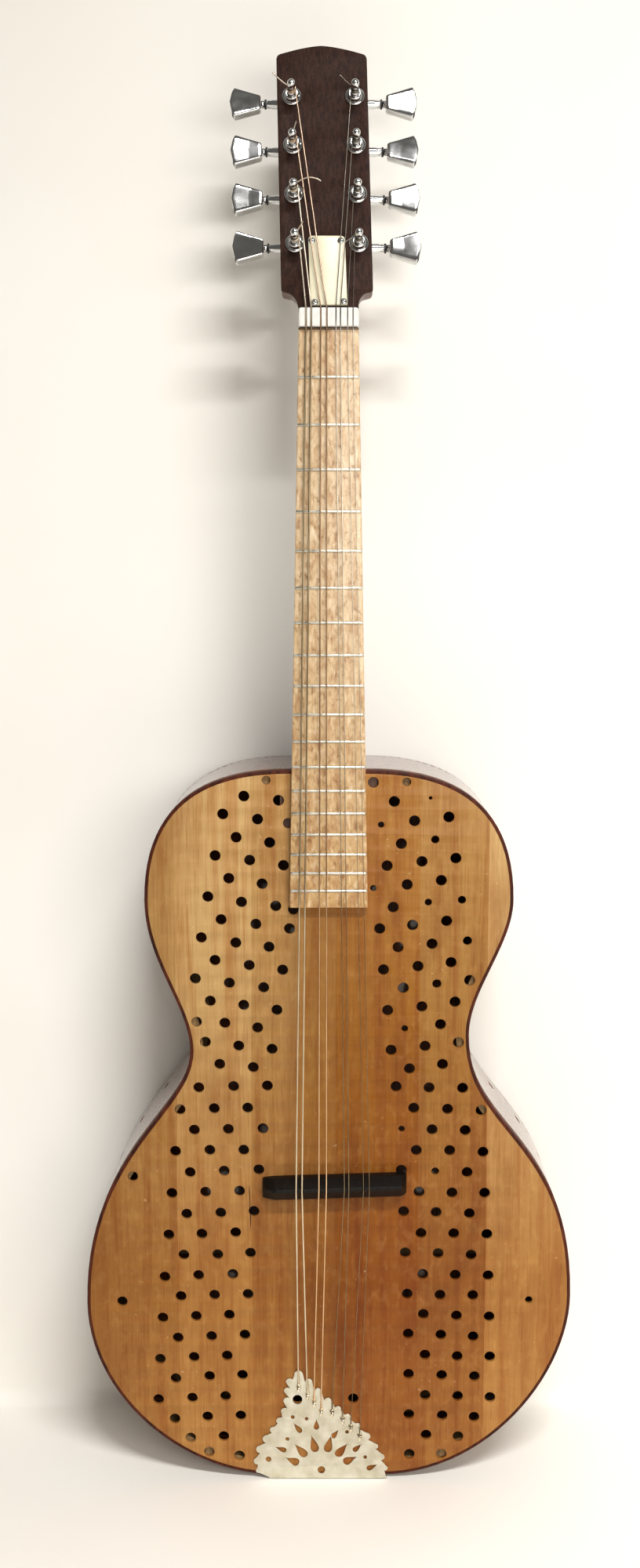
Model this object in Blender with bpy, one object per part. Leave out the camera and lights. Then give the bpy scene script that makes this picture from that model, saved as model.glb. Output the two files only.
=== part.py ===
"""Octave mandolin with a flat perforated soundboard, standing upright with its face towards -Y."""

import math

import bmesh
import bpy
import numpy as np
from mathutils import Matrix, Vector

MM = 0.001
CLEARANCE = 0.3

# Neck and scale, in millimetres. d runs from the nut's front edge towards the tail, and t runs
# backwards from the plane of the fingerboard's face.
SCALE_LENGTH = 558.8
FRET_COUNT = 18
FRET_WIDTH = 2.4
FRET_HEIGHT = 1.0
NUT_WIDTH = 38.0
NUT_FRONT = 0.5
NUT_BACK = -11.0
NUT_TOP = -3.4
STRING_REST = -1.4
BOARD_START = NUT_FRONT + CLEARANCE
BOARD_OVERHANG = 11.4
BOARD_END_WIDTH = 51.6
BOARD_THICKNESS = 6.2
NECK_DEPTH = 13.5
HEEL_LENGTH = 63.0
HEEL_DEPTH = 86.0

# Body outline. The two sides differ a little. Each is four arcs between a short flat at the neck and one
# at the tail: the points where they meet, as places across and down from the body's top, and their handles.
# The neck meets the body just past the twelfth fret, half the scale length from the nut.
BODY_TOP = SCALE_LENGTH / 2 + 2.9
BODY_BOTTOM = BODY_TOP + 491.0
TOP_FLAT = 26.0
BOTTOM_FLAT = 36.0
OUTLINES = {
    -1: {"top": 36.8, "upper": (122.0, 86.9), "upper_handles": (78.5, 41.5), "waist": (92.7, 189.1),
         "waist_handles": (30.5, 41.6), "lower": (164.8, 366.2), "lower_handles": (107.3, 66.7), "bottom": 65.5},
    1: {"top": 37.0, "upper": (122.4, 86.5), "upper_handles": (78.2, 30.4), "waist": (93.8, 178.3),
        "waist_handles": (30.7, 67.7), "lower": (164.9, 360.8), "lower_handles": (113.2, 57.5), "bottom": 73.6},
}
ARC_STEPS = 8
BODY_DEPTH = 92.0
FACE_LEVEL = BOARD_THICKNESS + CLEARANCE
PLATE_THICKNESS = 2.8
BINDING_WIDTH = 2.2
BINDING_HEIGHT = 6.0
RIB_THICKNESS = 2.5
LINING_WIDTH = 6.0
LINING_HEIGHT = 14.0
BACK_LEVEL = FACE_LEVEL + BODY_DEPTH

# Holes of the soundboard: on each side two blocks of rows of three, odd rows half a step further out.
# A block's start is across and down from the body's top. The middle of its row n lies n·down further down
# and n·out + n²·bend further out. Each step outwards moves a hole by (tilt + n·turn) downwards.
HOLE_DIAMETER = 6.35
HOLE_SIDES = 6
HOLE_BLOCKS = (
    {"side": -1, "rows": (0, 14), "start": (33.0, 20.2), "down": 13.77, "out": 2.92, "bend": -0.0556,
     "step": 22.44, "tilt": -3.41, "turn": 0.0575},
    {"side": -1, "rows": (14, 33), "start": (64.0, 213.9), "down": 14.67, "out": 1.733, "bend": -0.033,
     "step": 22.88, "tilt": 0.57, "turn": 0.0355},
    {"side": 1, "rows": (0, 14), "start": (43.2, 20.9), "down": 13.75, "out": 2.449, "bend": -0.0575,
     "step": 22.32, "tilt": -2.49, "turn": -0.0172},
    {"side": 1, "rows": (14, 33), "start": (67.6, 214.4), "down": 14.58, "out": 1.073, "bend": -0.0268,
     "step": 22.36, "tilt": 0.63, "turn": 0.0127},
)
OUTER_MISSING = (11, 13, 31, 32)
INNER_MISSING = (0, 2)
RIB_HOLES = (211.7, 235.7, 260.7, 287.7)
RIB_HOLE_LEVEL = 78.0
TAIL_HOLES = ((-21.6, -55.8), (16.9, -55.8))

# Headstock: v runs up its face from the nut's back edge, n stands out of the face.
HEAD_TILT = math.radians(13.0)
HEAD_LEVEL = 3.0
HEAD_FOOT = -11.5
HEAD_WIDTH = 58.0
HEAD_LENGTH = 168.0
HEAD_PEAK = 6.4
HEAD_SHOULDER = 11.7
HEAD_SHIFT = -0.95
HEAD_LEAN = -0.0233
HEAD_START = 0.9
VENEER_THICKNESS = 2.4
CORE_THICKNESS = 13.0
COVER_WIDTH = 23.3
COVER_LENGTH = 45.0
COVER_THICKNESS = 2.0

# Tuners: a worm on the knob's shaft turns the wheel on the foot of the post.
POST_FIRST = 42.4
POST_PITCH = 32.6
POST_SPREAD = 20.1
POST_SHIFT = 0.5
POST_RADIUS = 2.6
WAIST_RADIUS = 2.0
WAIST_BOTTOM = 7.0
WAIST_TOP = 12.6
POST_TOP = 18.4
BUSHING_RADIUS = 4.6
FLANGE_RADIUS = 6.2
BUSHING_TOP = 4.6
SHAFT_RADIUS = 1.4
WORM_RADIUS = 1.9
WHEEL_RADIUS = 3.8
SHAFT_OFFSET = WHEEL_RADIUS + WORM_RADIUS + CLEARANCE
SHAFT_LEVEL = -21.0
HOUSING_DEPTH = 11.5
HOUSING_HALF = 8.0
SLEEVE_END = 16.5
KNOB_START = 20.0
KNOB_END = 41.0
KNOB_HEIGHT = 20.6
KNOB_THICKNESS = (6.4, 8.6)
TURNS = 8

# Strings, from the viewer's left: diameter and the place across the nut and the bridge. The place
# at the tail is across, and along from the body's bottom.
STRINGS = (
    {"size": 1.10, "nut": -14.3, "bridge": -21.7, "tail": (-20.7, -64.8), "post": ("bass", 0)},
    {"size": 1.10, "nut": -11.0, "bridge": -17.8, "tail": (-14.6, -59.7), "post": ("bass", 1)},
    {"size": 0.86, "nut": -5.0, "bridge": -6.5, "tail": (-10.1, -54.1), "post": ("bass", 2)},
    {"size": 0.86, "nut": -1.2, "bridge": -1.5, "tail": (-5.2, -47.7), "post": ("bass", 3)},
    {"size": 0.60, "nut": 4.6, "bridge": 10.5, "tail": (2.4, -47.0), "post": ("treble", 3)},
    {"size": 0.60, "nut": 7.4, "bridge": 13.5, "tail": (9.6, -41.7), "post": ("treble", 2)},
    {"size": 0.44, "nut": 11.9, "bridge": 23.3, "tail": (15.3, -36.1), "post": ("treble", 1)},
    {"size": 0.44, "nut": 15.3, "bridge": 27.2, "tail": (21.4, -29.7), "post": ("treble", 0)},
)
STRING_LOOPS = 2
LOOP_POINTS = 10
LOOP_GAP = 0.56
LOOP_CLEARANCE = 0.5

BRIDGE_LEFT = -44.4
BRIDGE_RIGHT = 52.4
BRIDGE_RIDGE = SCALE_LENGTH + 4.0
BRIDGE_TOP = -8.0
BRIDGE_TURN = math.radians(1.8)
SLOT_DEPTH = 0.8

TAIL_LEVEL = 5.0
TAIL_THICKNESS = 1.2
TAIL_FOLD = 30.0
TAIL_LEFT = -52.1
TAIL_RIGHT = 40.7
TAIL_GUIDE = ((TAIL_LEFT, -20.6), (-32.0, -48.6), (-27.0, -74.6), (-15.0, -74.1), (14.0, -50.6),
              (33.0, -22.6), (TAIL_RIGHT, -6.6))
TAIL_OPENINGS = ((-23.0, -41.6), (-34.0, -24.6), (-10.0, -24.6), (8.0, -20.6), (25.0, -10.6))
PIN_RADIUS = 1.3
PIN_HEIGHT = 3.4

WOODS = {
    "maple_veneer": (0.62, 0.38, 0.15),
    "maple_board": (0.72, 0.55, 0.33),
    "mahogany": (0.16, 0.045, 0.02),
    "rosewood": (0.07, 0.035, 0.025),
    "spruce": (0.65, 0.5, 0.3),
    "ebony": (0.012, 0.011, 0.011),
    "binding_wood": (0.06, 0.025, 0.015),
}
METALS = {
    "chrome": (0.62, 0.63, 0.65),
    "bronze_wire": (0.55, 0.36, 0.2),
    "steel_wire": (0.6, 0.6, 0.6),
    "silver_sheet": (0.66, 0.63, 0.56),
    "steel_rod": (0.35, 0.35, 0.36),
}
PLASTICS = {"ivory_plastic": (0.85, 0.8, 0.68), "bone": (0.88, 0.86, 0.8)}


def clearScene():
    for obj in list(bpy.data.objects):
        bpy.data.objects.remove(obj)
    for group in list(bpy.data.collections):
        bpy.data.collections.remove(group)


clearScene()
part_group = bpy.data.collections.new("octave_mandolin")
cutter_group = bpy.data.collections.new("octave_mandolin_cutters")
bpy.context.scene.collection.children.link(part_group)
bpy.context.scene.collection.children.link(cutter_group)
cutter_group.hide_render = True


def material_for(name, kind):
    colour = {**WOODS, **METALS, **PLASTICS}[kind]
    made = bpy.data.materials.new(name + "_" + kind)
    made.use_nodes = True
    shader = made.node_tree.nodes["Principled BSDF"]
    shader.inputs["Base Color"].default_value = (*colour, 1.0)
    shader.inputs["Metallic"].default_value = 1.0 if kind in METALS else 0.0
    shader.inputs["Roughness"].default_value = 0.25 if kind in METALS else 0.45
    return made


def at(x, d, t):
    """The world point of a place across, along and behind the fingerboard's face, in metres."""
    return Vector((x * MM, t * MM, -(d - HEAD_FOOT) * MM))


HEAD_UP = Vector((0.0, math.sin(HEAD_TILT), math.cos(HEAD_TILT)))
HEAD_OUT = Vector((0.0, -math.cos(HEAD_TILT), math.sin(HEAD_TILT)))


def head_at(x, v, n):
    return at(x, HEAD_FOOT, HEAD_LEVEL) + HEAD_UP * v * MM + HEAD_OUT * n * MM


def head_middle(v):
    return HEAD_SHIFT + HEAD_LEAN * (v - HEAD_SHOULDER)


def keep(mesh, name, kind=None, placed=None):
    """Makes the object. With no kind it is a cutter or a helper."""
    bmesh.ops.recalc_face_normals(mesh, faces=mesh.faces[:])
    data = bpy.data.meshes.new(name)
    mesh.to_mesh(data)
    mesh.free()
    made = bpy.data.objects.new(name, data)
    if placed is not None:
        made.matrix_world = placed
    if kind is None:
        cutter_group.objects.link(made)
        made.hide_render = True
        made.display_type = "WIRE"
    else:
        part_group.objects.link(made)
        data.materials.append(material_for(name, kind))
    return made


def combine(target, other, operation):
    step = target.modifiers.new(other.name, "BOOLEAN")
    step.solver = "EXACT"
    step.operation = operation
    step.object = other


def prism(mesh, corners, shift):
    """One face through the corners, drawn out along the shift."""
    face = mesh.faces.new([mesh.verts.new(corner) for corner in corners])
    made = bmesh.ops.extrude_face_region(mesh, geom=[face])["geom"]
    moved = [item for item in made if isinstance(item, bmesh.types.BMVert)]
    bmesh.ops.translate(mesh, verts=moved, vec=shift)


def slab(name, outline, front, back, kind=None):
    """A flat plate whose outline is given across and along, between two levels."""
    mesh = bmesh.new()
    prism(mesh, [at(x, d, front) for x, d in outline], Vector((0, (back - front) * MM, 0)))
    return keep(mesh, name, kind)


def head_slab(name, outline, low, high, kind=None):
    mesh = bmesh.new()
    prism(mesh, [head_at(x, v, low) for x, v in outline], HEAD_OUT * (high - low) * MM)
    return keep(mesh, name, kind)


def box(name, x_range, d_range, t_range, kind=None):
    corners = [(x_range[0], d_range[0]), (x_range[1], d_range[0]),
               (x_range[1], d_range[1]), (x_range[0], d_range[1])]
    return slab(name, corners, t_range[0], t_range[1], kind)


def bored(mesh, centres, radius, sides, direction, length):
    """Round cutters of one size about each centre, along one direction."""
    turn = direction.to_track_quat("Z", "Y").to_matrix().to_4x4()
    for centre in centres:
        bmesh.ops.create_cone(mesh, cap_ends=True, segments=sides, radius1=radius * MM,
                              radius2=radius * MM, depth=length * MM,
                              matrix=Matrix.Translation(centre) @ turn)


def loft(name, rings, kind):
    """Skins rings of equal point count and closes both ends."""
    mesh = bmesh.new()
    rows = [[mesh.verts.new(point) for point in ring] for ring in rings]
    for first, second in zip(rows, rows[1:]):
        for index in range(len(first)):
            after = (index + 1) % len(first)
            mesh.faces.new((first[index], first[after], second[after], second[index]))
    mesh.faces.new(rows[0])
    mesh.faces.new(rows[-1])
    return keep(mesh, name, kind)


def turned(name, profile, placed, kind=None, steps=TURNS):
    """Spins a profile of radius and height once round the local Z axis."""
    mesh = bmesh.new()
    verts = [mesh.verts.new((radius * MM, 0.0, height * MM)) for radius, height in profile]
    edges = [mesh.edges.new(pair) for pair in zip(verts, verts[1:])]
    if profile[0][0] > 0.0:
        edges.append(mesh.edges.new((verts[-1], verts[0])))
    bmesh.ops.spin(mesh, geom=verts + edges, cent=(0, 0, 0), axis=(0, 0, 1),
                   angle=2 * math.pi, steps=steps, use_merge=True)
    bmesh.ops.remove_doubles(mesh, verts=mesh.verts[:], dist=1e-6)
    return keep(mesh, name, kind, placed)


def arc(start, leave, arrive, end):
    """Points of one curved stretch of the outline, leaving out its end."""
    share = np.linspace(0.0, 1.0, ARC_STEPS + 1)[:-1, None]
    corners = [np.array(corner, float) for corner in (start, leave, arrive, end)]
    weights = ((1 - share) ** 3, 3 * (1 - share) ** 2 * share, 3 * (1 - share) * share**2, share**3)
    return sum(weight * corner for weight, corner in zip(weights, corners))


def side_outline(side):
    """One side's outline from its top point to its bottom point, with x away from the middle line."""
    form = OUTLINES[side]
    meets = [(x, BODY_TOP + down) for x, down in (form["upper"], form["waist"], form["lower"])]
    handles = [form["upper_handles"], form["waist_handles"], form["lower_handles"]]
    before = [(x, d - back) for (x, d), (back, _) in zip(meets, handles)]
    after = [(x, d + on) for (x, d), (_, on) in zip(meets, handles)]
    stretches = [
        np.array([[0.0, BODY_TOP]]),
        arc((TOP_FLAT, BODY_TOP), (TOP_FLAT + form["top"], BODY_TOP), before[0], meets[0]),
        arc(meets[0], after[0], before[1], meets[1]),
        arc(meets[1], after[1], before[2], meets[2]),
        arc(meets[2], after[2], (BOTTOM_FLAT + form["bottom"], BODY_BOTTOM), (BOTTOM_FLAT, BODY_BOTTOM)),
        np.array([[BOTTOM_FLAT, BODY_BOTTOM], [0.0, BODY_BOTTOM]]),
    ]
    return np.vstack(stretches)


HALVES = {side: side_outline(side) for side in OUTLINES}


def inset(side, amount):
    """One side's outline moved inwards by an amount, from its top point to its bottom point."""
    half = HALVES[side]
    way = np.gradient(half, axis=0)
    way[0], way[-1] = (1.0, 0.0), (-1.0, 0.0)
    way /= np.linalg.norm(way, axis=1)[:, None]
    moved = half + amount * np.stack([-way[:, 1], way[:, 0]], axis=1)
    moved[0, 0] = moved[-1, 0] = 0.0
    return moved


def whole(amount):
    """The full outline, once round from the top point by the treble side."""
    bass = inset(-1, amount)[1:-1][::-1] * (-1.0, 1.0)
    return [tuple(point) for point in np.vstack([inset(1, amount), bass])]


def half_band(outer, inner, side, gap):
    """A strip along one side of the body, kept clear of the middle line by the gap."""
    path = []
    for amount, order in ((outer, 1), (inner, -1)):
        line = inset(side, amount)
        line[0, 0] = line[-1, 0] = gap
        path += [(side * x, d) for x, d in line[::order]]
    return path


def open_band(outer, inner, gap):
    """A strip all round the body but for a gap at the top, either side of the middle line."""
    path = []
    for amount, order in ((outer, 1), (inner, -1)):
        halves = []
        for side in (1, -1):
            line = inset(side, amount)
            first = np.array([[gap, np.interp(gap, line[:6, 0], line[:6, 1])]])
            line = np.vstack([first, line[line[:, 0] > gap + 0.5], line[-1:]])
            halves.append(line * (side, 1.0))
        around = np.vstack([halves[0], halves[1][:-1][::-1]])
        path += [tuple(point) for point in around[::order]]
    return path


def block_outline(amount, reach, half, far):
    """A block that lies against the ribs within reach of one end and ends square at the far level."""
    sides = []
    for side in (1, -1):
        line = inset(side, amount)[reach]
        edge = np.interp(half, line[:, 0], line[:, 1])
        near = [(side * x, d) for x, d in line if x < half]
        sides.append(near + [(side * half, edge), (side * half, far)])
    return sides[0] + sides[1][1:][::-1]


def hole_centres():
    """Centres of the holes in rows, as places across and along."""
    centres = []
    for block in HOLE_BLOCKS:
        first, last = block["rows"]
        for row in range(first, last):
            n = row - first
            middle = block["start"][0] + block["out"] * n + block["bend"] * n**2
            for place in (-1, 0, 1):
                if place == 1 and row in OUTER_MISSING:
                    continue
                if place == -1 and row in INNER_MISSING:
                    continue
                step = place + (0.5 if row % 2 else 0.0)
                across = block["side"] * (middle + step * block["step"])
                along = BODY_TOP + block["start"][1] + block["down"] * n
                centres.append((across, along + (block["tilt"] + block["turn"] * n) * step))
    return centres


def build_body():
    soundboard = slab("soundboard", whole(BINDING_WIDTH + CLEARANCE), FACE_LEVEL,
                      FACE_LEVEL + PLATE_THICKNESS, "maple_veneer")
    mesh = bmesh.new()
    places = hole_centres() + [(x, BODY_BOTTOM + up) for x, up in TAIL_HOLES]
    centres = [at(x, d, FACE_LEVEL + PLATE_THICKNESS / 2) for x, d in places]
    bored(mesh, centres, HOLE_DIAMETER / 2, HOLE_SIDES, Vector((0, 1, 0)), 3 * PLATE_THICKNESS)
    combine(soundboard, keep(mesh, "sound_hole_cutter"), "DIFFERENCE")

    mesh = bmesh.new()
    prism(mesh, [at(x, d, FACE_LEVEL) for x, d in whole(0.0)], Vector((0, BINDING_HEIGHT * MM, 0)))
    binding = keep(mesh, "top_binding", "binding_wood")
    inside = slab("binding_cutter", whole(BINDING_WIDTH), FACE_LEVEL - 5, FACE_LEVEL + 15)
    combine(binding, inside, "DIFFERENCE")

    rib_front = FACE_LEVEL + BINDING_HEIGHT + CLEARANCE
    rib_back = BACK_LEVEL - PLATE_THICKNESS - CLEARANCE
    for name, side in (("rib_bass", -1), ("rib_treble", 1)):
        outline = inset(side, 0.0)
        rib = slab(name, half_band(0.0, RIB_THICKNESS, side, 0.15), rib_front, rib_back, "mahogany")
        mesh = bmesh.new()
        for down in RIB_HOLES:
            d = BODY_TOP + down
            near = int(np.argmin(np.abs(outline[:, 1] - d) + 1e3 * (outline[:, 0] < 80)))
            across = np.interp(d, outline[near - 1:near + 2, 1], outline[near - 1:near + 2, 0])
            way = outline[near + 1] - outline[near - 1]
            normal = Vector((side * way[1], 0.0, way[0])).normalized()
            bored(mesh, [at(side * across, d, RIB_HOLE_LEVEL)], HOLE_DIAMETER / 2, 8, normal, 14)
        combine(rib, keep(mesh, name + "_hole_cutter"), "DIFFERENCE")

    slab("back_plate", whole(0.0), BACK_LEVEL - PLATE_THICKNESS, BACK_LEVEL, "mahogany")

    inner_front = FACE_LEVEL + PLATE_THICKNESS + CLEARANCE
    rib_inside = RIB_THICKNESS + CLEARANCE
    lining_inside = rib_inside + LINING_WIDTH
    block_half = 32.0
    lining = open_band(rib_inside, lining_inside, block_half + CLEARANCE)
    slab("top_lining", lining, inner_front, inner_front + LINING_HEIGHT, "spruce")
    slab("back_lining", lining, rib_back - LINING_HEIGHT, rib_back, "spruce")

    neck_outline = block_outline(rib_inside, slice(0, 6), block_half, BODY_TOP + 55.0)
    slab("neck_block", neck_outline, inner_front, rib_back, "spruce")
    tail_outline = block_outline(rib_inside, slice(None, -7, -1), 28.0, BODY_BOTTOM - 35.5)
    tail = slab("tail_block", tail_outline, inner_front, rib_back, "spruce")
    for name, span in (("tail_notch_front", (inner_front - 5, inner_front + LINING_HEIGHT + CLEARANCE)),
                       ("tail_notch_back", (rib_back - LINING_HEIGHT - CLEARANCE, rib_back + 5))):
        notch = box(name, (-60, 60), (BODY_BOTTOM - lining_inside - 4.5, BODY_BOTTOM + 20), span)
        combine(tail, notch, "DIFFERENCE")

    brace_depth = 10.0
    for name, side in (("top_brace_bass", -1), ("top_brace_treble", 1)):
        mesh = bmesh.new()
        start = at(side * 13.0, board_end() + 11.4, inner_front)
        end = at(side * 37.0, BODY_BOTTOM - 77.5, inner_front)
        along = end - start
        across = along.cross(Vector((0, 1, 0))).normalized() * 3.5 * MM
        deep = Vector((0, brace_depth * MM, 0))
        side_view = [start, end, end + deep * 0.4, end - along * 0.12 + deep,
                     start + along * 0.12 + deep, start + deep * 0.4]
        prism(mesh, [point - across for point in side_view], across * 2)
        keep(mesh, name, "spruce")
    mesh = bmesh.new()
    reach = min(form["lower"][0] for form in OUTLINES.values()) - lining_inside - 3.4
    down = BODY_TOP + OUTLINES[1]["lower"][1] + 3.3
    start, end = at(-reach, down, rib_back), at(reach, down, rib_back)
    low = Vector((0, -12.0 * MM, 0))
    side_view = [start, end, end + low * 0.4, end + (start - end) * 0.15 + low,
                 start + (end - start) * 0.15 + low, start + low * 0.4]
    prism(mesh, side_view, Vector((0, 0, 9.0 * MM)))
    keep(mesh, "back_brace", "spruce")


def fret_place(number):
    return SCALE_LENGTH * (1 - 2 ** (-number / 12))


def board_end():
    return fret_place(FRET_COUNT) + BOARD_OVERHANG


def board_half_width(d):
    return (NUT_WIDTH + (BOARD_END_WIDTH - NUT_WIDTH) * max(d, 0.0) / board_end()) / 2


def head_outline():
    """Corners of the headstock from the nut up the treble side, over the peak and back."""
    half = HEAD_WIDTH / 2
    nut_half = NUT_WIDTH / 2
    right, left = [(nut_half, HEAD_START)], [(-nut_half, HEAD_START)]
    for share in (0.2, 0.45, 0.75, 1.0):
        turn = share * math.pi / 2
        out = (half - 0.6 - nut_half) * (1 - math.cos(turn))
        up = HEAD_START + (HEAD_SHOULDER - HEAD_START) * math.sin(turn)
        right.append((HEAD_SHIFT * share + nut_half + out, up))
        left.append((HEAD_SHIFT * share - nut_half - out, up))
    for v in (HEAD_SHOULDER + 2.0, HEAD_LENGTH - 1.5):
        right.append((head_middle(v) + half, v))
        left.append((head_middle(v) - half, v))
    right.append((head_middle(HEAD_LENGTH) + half - 1.5, HEAD_LENGTH))
    left.append((head_middle(HEAD_LENGTH) - half + 1.5, HEAD_LENGTH))
    right.append((head_middle(HEAD_LENGTH) + 5.0, HEAD_LENGTH + HEAD_PEAK - 0.4))
    left.append((head_middle(HEAD_LENGTH) - 5.0, HEAD_LENGTH + HEAD_PEAK - 0.4))
    return right + [(head_middle(HEAD_LENGTH), HEAD_LENGTH + HEAD_PEAK)] + left[::-1]


def post_place(side, number):
    v = POST_FIRST + POST_PITCH * number
    return head_middle(v) + POST_SHIFT + side * POST_SPREAD, v


def build_neck():
    rings = []
    heel_start, heel_end = BODY_TOP - HEEL_LENGTH, BODY_TOP - CLEARANCE
    places = [-20.0, NUT_BACK, 2.0, heel_start / 2, heel_start]
    places += [heel_start + share * (heel_end - heel_start)
               for share in (0.22, 0.41, 0.57, 0.7, 0.81, 0.91, 1.0)]
    for d in places:
        rise = max(d - heel_start, 0.0) / HEEL_LENGTH
        depth = NECK_DEPTH + 3.0 * max(d, 0.0) / BODY_TOP + (HEEL_DEPTH - NECK_DEPTH - 3.0) * rise**2.4
        front = FACE_LEVEL
        if d < NUT_BACK:
            front = HEAD_LEVEL + 8.0
            depth = NECK_DEPTH - 5.5
        half = board_half_width(d)
        ring = []
        for step in range(13):
            turn = math.pi * step / 12
            ring.append(at(half * math.cos(turn), d, front + depth * math.sin(turn) ** 0.75))
        rings.append(ring)
    neck = loft("neck", rings, "mahogany")
    outline = head_outline()
    core = head_slab("head_core", outline, -VENEER_THICKNESS - CLEARANCE - CORE_THICKNESS,
                     -VENEER_THICKNESS - CLEARANCE)
    combine(neck, core, "UNION")
    combine(neck, box("rod_channel", (-3.3, 3.3), (-16.0, BODY_TOP - 9.0), (2.0, 13.7)), "DIFFERENCE")
    pocket_outline = [(-5.0, 4.0), (5.0, 4.0), (4.0, 38.0), (-6.0, 38.0)]
    pocket = head_slab("rod_pocket", pocket_outline, -9.5, 5.0)
    combine(neck, pocket, "DIFFERENCE")

    veneer = head_slab("headstock_veneer", outline, -VENEER_THICKNESS, 0.0, "rosewood")
    combine(veneer, pocket, "DIFFERENCE")
    mesh = bmesh.new()
    centres = [head_at(*post_place(side, number), -8.0) for side in (-1, 1) for number in range(4)]
    bored(mesh, centres, BUSHING_RADIUS + CLEARANCE + 0.4, TURNS, HEAD_OUT, 60)
    bores = keep(mesh, "post_bores")
    combine(neck, bores, "DIFFERENCE")
    combine(veneer, bores, "DIFFERENCE")

    mesh = bmesh.new()
    rod_top, rod_bottom = -26.0, BODY_TOP - 13.0
    bored(mesh, [at(0, (rod_top + rod_bottom) / 2, 11.0)], 2.4, 8, Vector((0, 0, 1)),
          rod_bottom - rod_top)
    keep(mesh, "truss_rod", "steel_rod")

    half, top = COVER_WIDTH / 2, COVER_LENGTH + 1.6
    lean = -1.35
    cover = [(0.2 - half, 1.3), (0.2 + half, 1.3), (lean + half, top - 2.5), (lean + half - 2.5, top),
             (lean - half + 2.5, top), (lean - half, top - 2.5)]
    head_slab("rod_cover", cover, CLEARANCE, CLEARANCE + COVER_THICKNESS, "ivory_plastic")


def build_fingerboard():
    start, end = board_half_width(BOARD_START), board_half_width(board_end())
    far = board_end()
    corners = [(-start, BOARD_START), (start, BOARD_START), (end, far), (-end, far)]
    board = slab("fingerboard", corners, 0.0, BOARD_THICKNESS, "maple_board")
    mesh = bmesh.new()
    for number in range(1, FRET_COUNT + 1):
        d, half = fret_place(number), board_half_width(fret_place(number)) - 0.3
        low, high = FRET_WIDTH / 2, FRET_WIDTH / 4
        side_view = [at(-half, d - low, 1.0), at(-half, d - low, -0.35), at(-half, d - high, -FRET_HEIGHT),
                     at(-half, d + high, -FRET_HEIGHT), at(-half, d + low, -0.35), at(-half, d + low, 1.0)]
        prism(mesh, side_view, Vector((2 * half * MM, 0, 0)))
    combine(board, keep(mesh, "fret_wires"), "UNION")


def build_nut():
    half = NUT_WIDTH / 2
    mesh = bmesh.new()
    front_view = [at(-half, NUT_BACK, BOARD_THICKNESS), at(half, NUT_BACK, BOARD_THICKNESS),
                  at(half, NUT_BACK, NUT_TOP + 1.6), at(half - 1.6, NUT_BACK, NUT_TOP),
                  at(1.6 - half, NUT_BACK, NUT_TOP), at(-half, NUT_BACK, NUT_TOP + 1.6)]
    prism(mesh, front_view, Vector((0, 0, -(NUT_FRONT - NUT_BACK) * MM)))
    nut = keep(mesh, "nut", "bone")
    mesh = bmesh.new()
    for string in STRINGS:
        wide = string["size"] / 2 + CLEARANCE
        for_slot = [at(string["nut"] - wide, NUT_BACK - 5, NUT_TOP - 5),
                    at(string["nut"] + wide, NUT_BACK - 5, NUT_TOP - 5),
                    at(string["nut"] + wide, NUT_BACK - 5, STRING_REST + CLEARANCE),
                    at(string["nut"] - wide, NUT_BACK - 5, STRING_REST + CLEARANCE)]
        prism(mesh, for_slot, Vector((0, 0, -25 * MM)))
    combine(nut, keep(mesh, "nut_slots"), "DIFFERENCE")


def ridge_place(x):
    return BRIDGE_RIDGE - math.tan(BRIDGE_TURN) * (x - (BRIDGE_LEFT + BRIDGE_RIGHT) / 2)


def build_bridge():
    base = FACE_LEVEL - CLEARANCE
    rings = []
    for x, high, long in ((BRIDGE_LEFT, 0.35, 0.8), (BRIDGE_LEFT + 9, 1.0, 1.0),
                          (BRIDGE_RIGHT - 9, 1.0, 1.0), (BRIDGE_RIGHT, 0.35, 0.8)):
        top = base + (BRIDGE_TOP - base) * high
        shoulder = base + (0.5 - base) * high
        middle = ridge_place(x)
        section = [(-6.2, base), (-6.2, shoulder), (-1.3, top), (1.3, top), (9.2, shoulder), (9.2, base)]
        rings.append([at(x, middle + away * long, level) for away, level in section])
    bridge = loft("bridge", rings, "ebony")
    mesh = bmesh.new()
    for string in STRINGS:
        wide = string["size"] / 2 + CLEARANCE
        x, d = string["bridge"], ridge_place(string["bridge"])
        low = BRIDGE_TOP + SLOT_DEPTH
        corners = [at(x - wide, d - 9, low - 9), at(x + wide, d - 9, low - 9),
                   at(x + wide, d - 9, low), at(x - wide, d - 9, low)]
        prism(mesh, corners, Vector((0, 0, -18 * MM)))
    combine(bridge, keep(mesh, "bridge_slots"), "DIFFERENCE")


def build_tailpiece():
    fold = BODY_BOTTOM + 0.6
    outline = [(TAIL_LEFT, fold + TAIL_THICKNESS), (TAIL_RIGHT, fold + TAIL_THICKNESS)]
    outline += [(x, BODY_BOTTOM + up) for x, up in TAIL_GUIDE[::-1]]
    sheet = slab("tailpiece", outline, TAIL_LEVEL, TAIL_LEVEL + TAIL_THICKNESS, "silver_sheet")
    apron = box("tail_apron", (-40.0, 40.0), (fold, fold + TAIL_THICKNESS - 0.05),
                (TAIL_LEVEL + 0.4, TAIL_LEVEL + TAIL_FOLD))
    combine(sheet, apron, "UNION")
    mesh = bmesh.new()
    centres = [at(string["tail"][0], BODY_BOTTOM + string["tail"][1], TAIL_LEVEL + 0.8 - PIN_HEIGHT / 2)
               for string in STRINGS]
    bored(mesh, centres, PIN_RADIUS, 6, Vector((0, 1, 0)), PIN_HEIGHT)
    combine(sheet, keep(mesh, "tail_pins"), "UNION")
    mesh = bmesh.new()
    places = [at(x, BODY_BOTTOM + up, TAIL_LEVEL) for x, up in TAIL_OPENINGS]
    bored(mesh, places, 4.2, 8, Vector((0, 1, 0)), 12)
    combine(sheet, keep(mesh, "tail_openings"), "DIFFERENCE")


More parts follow.
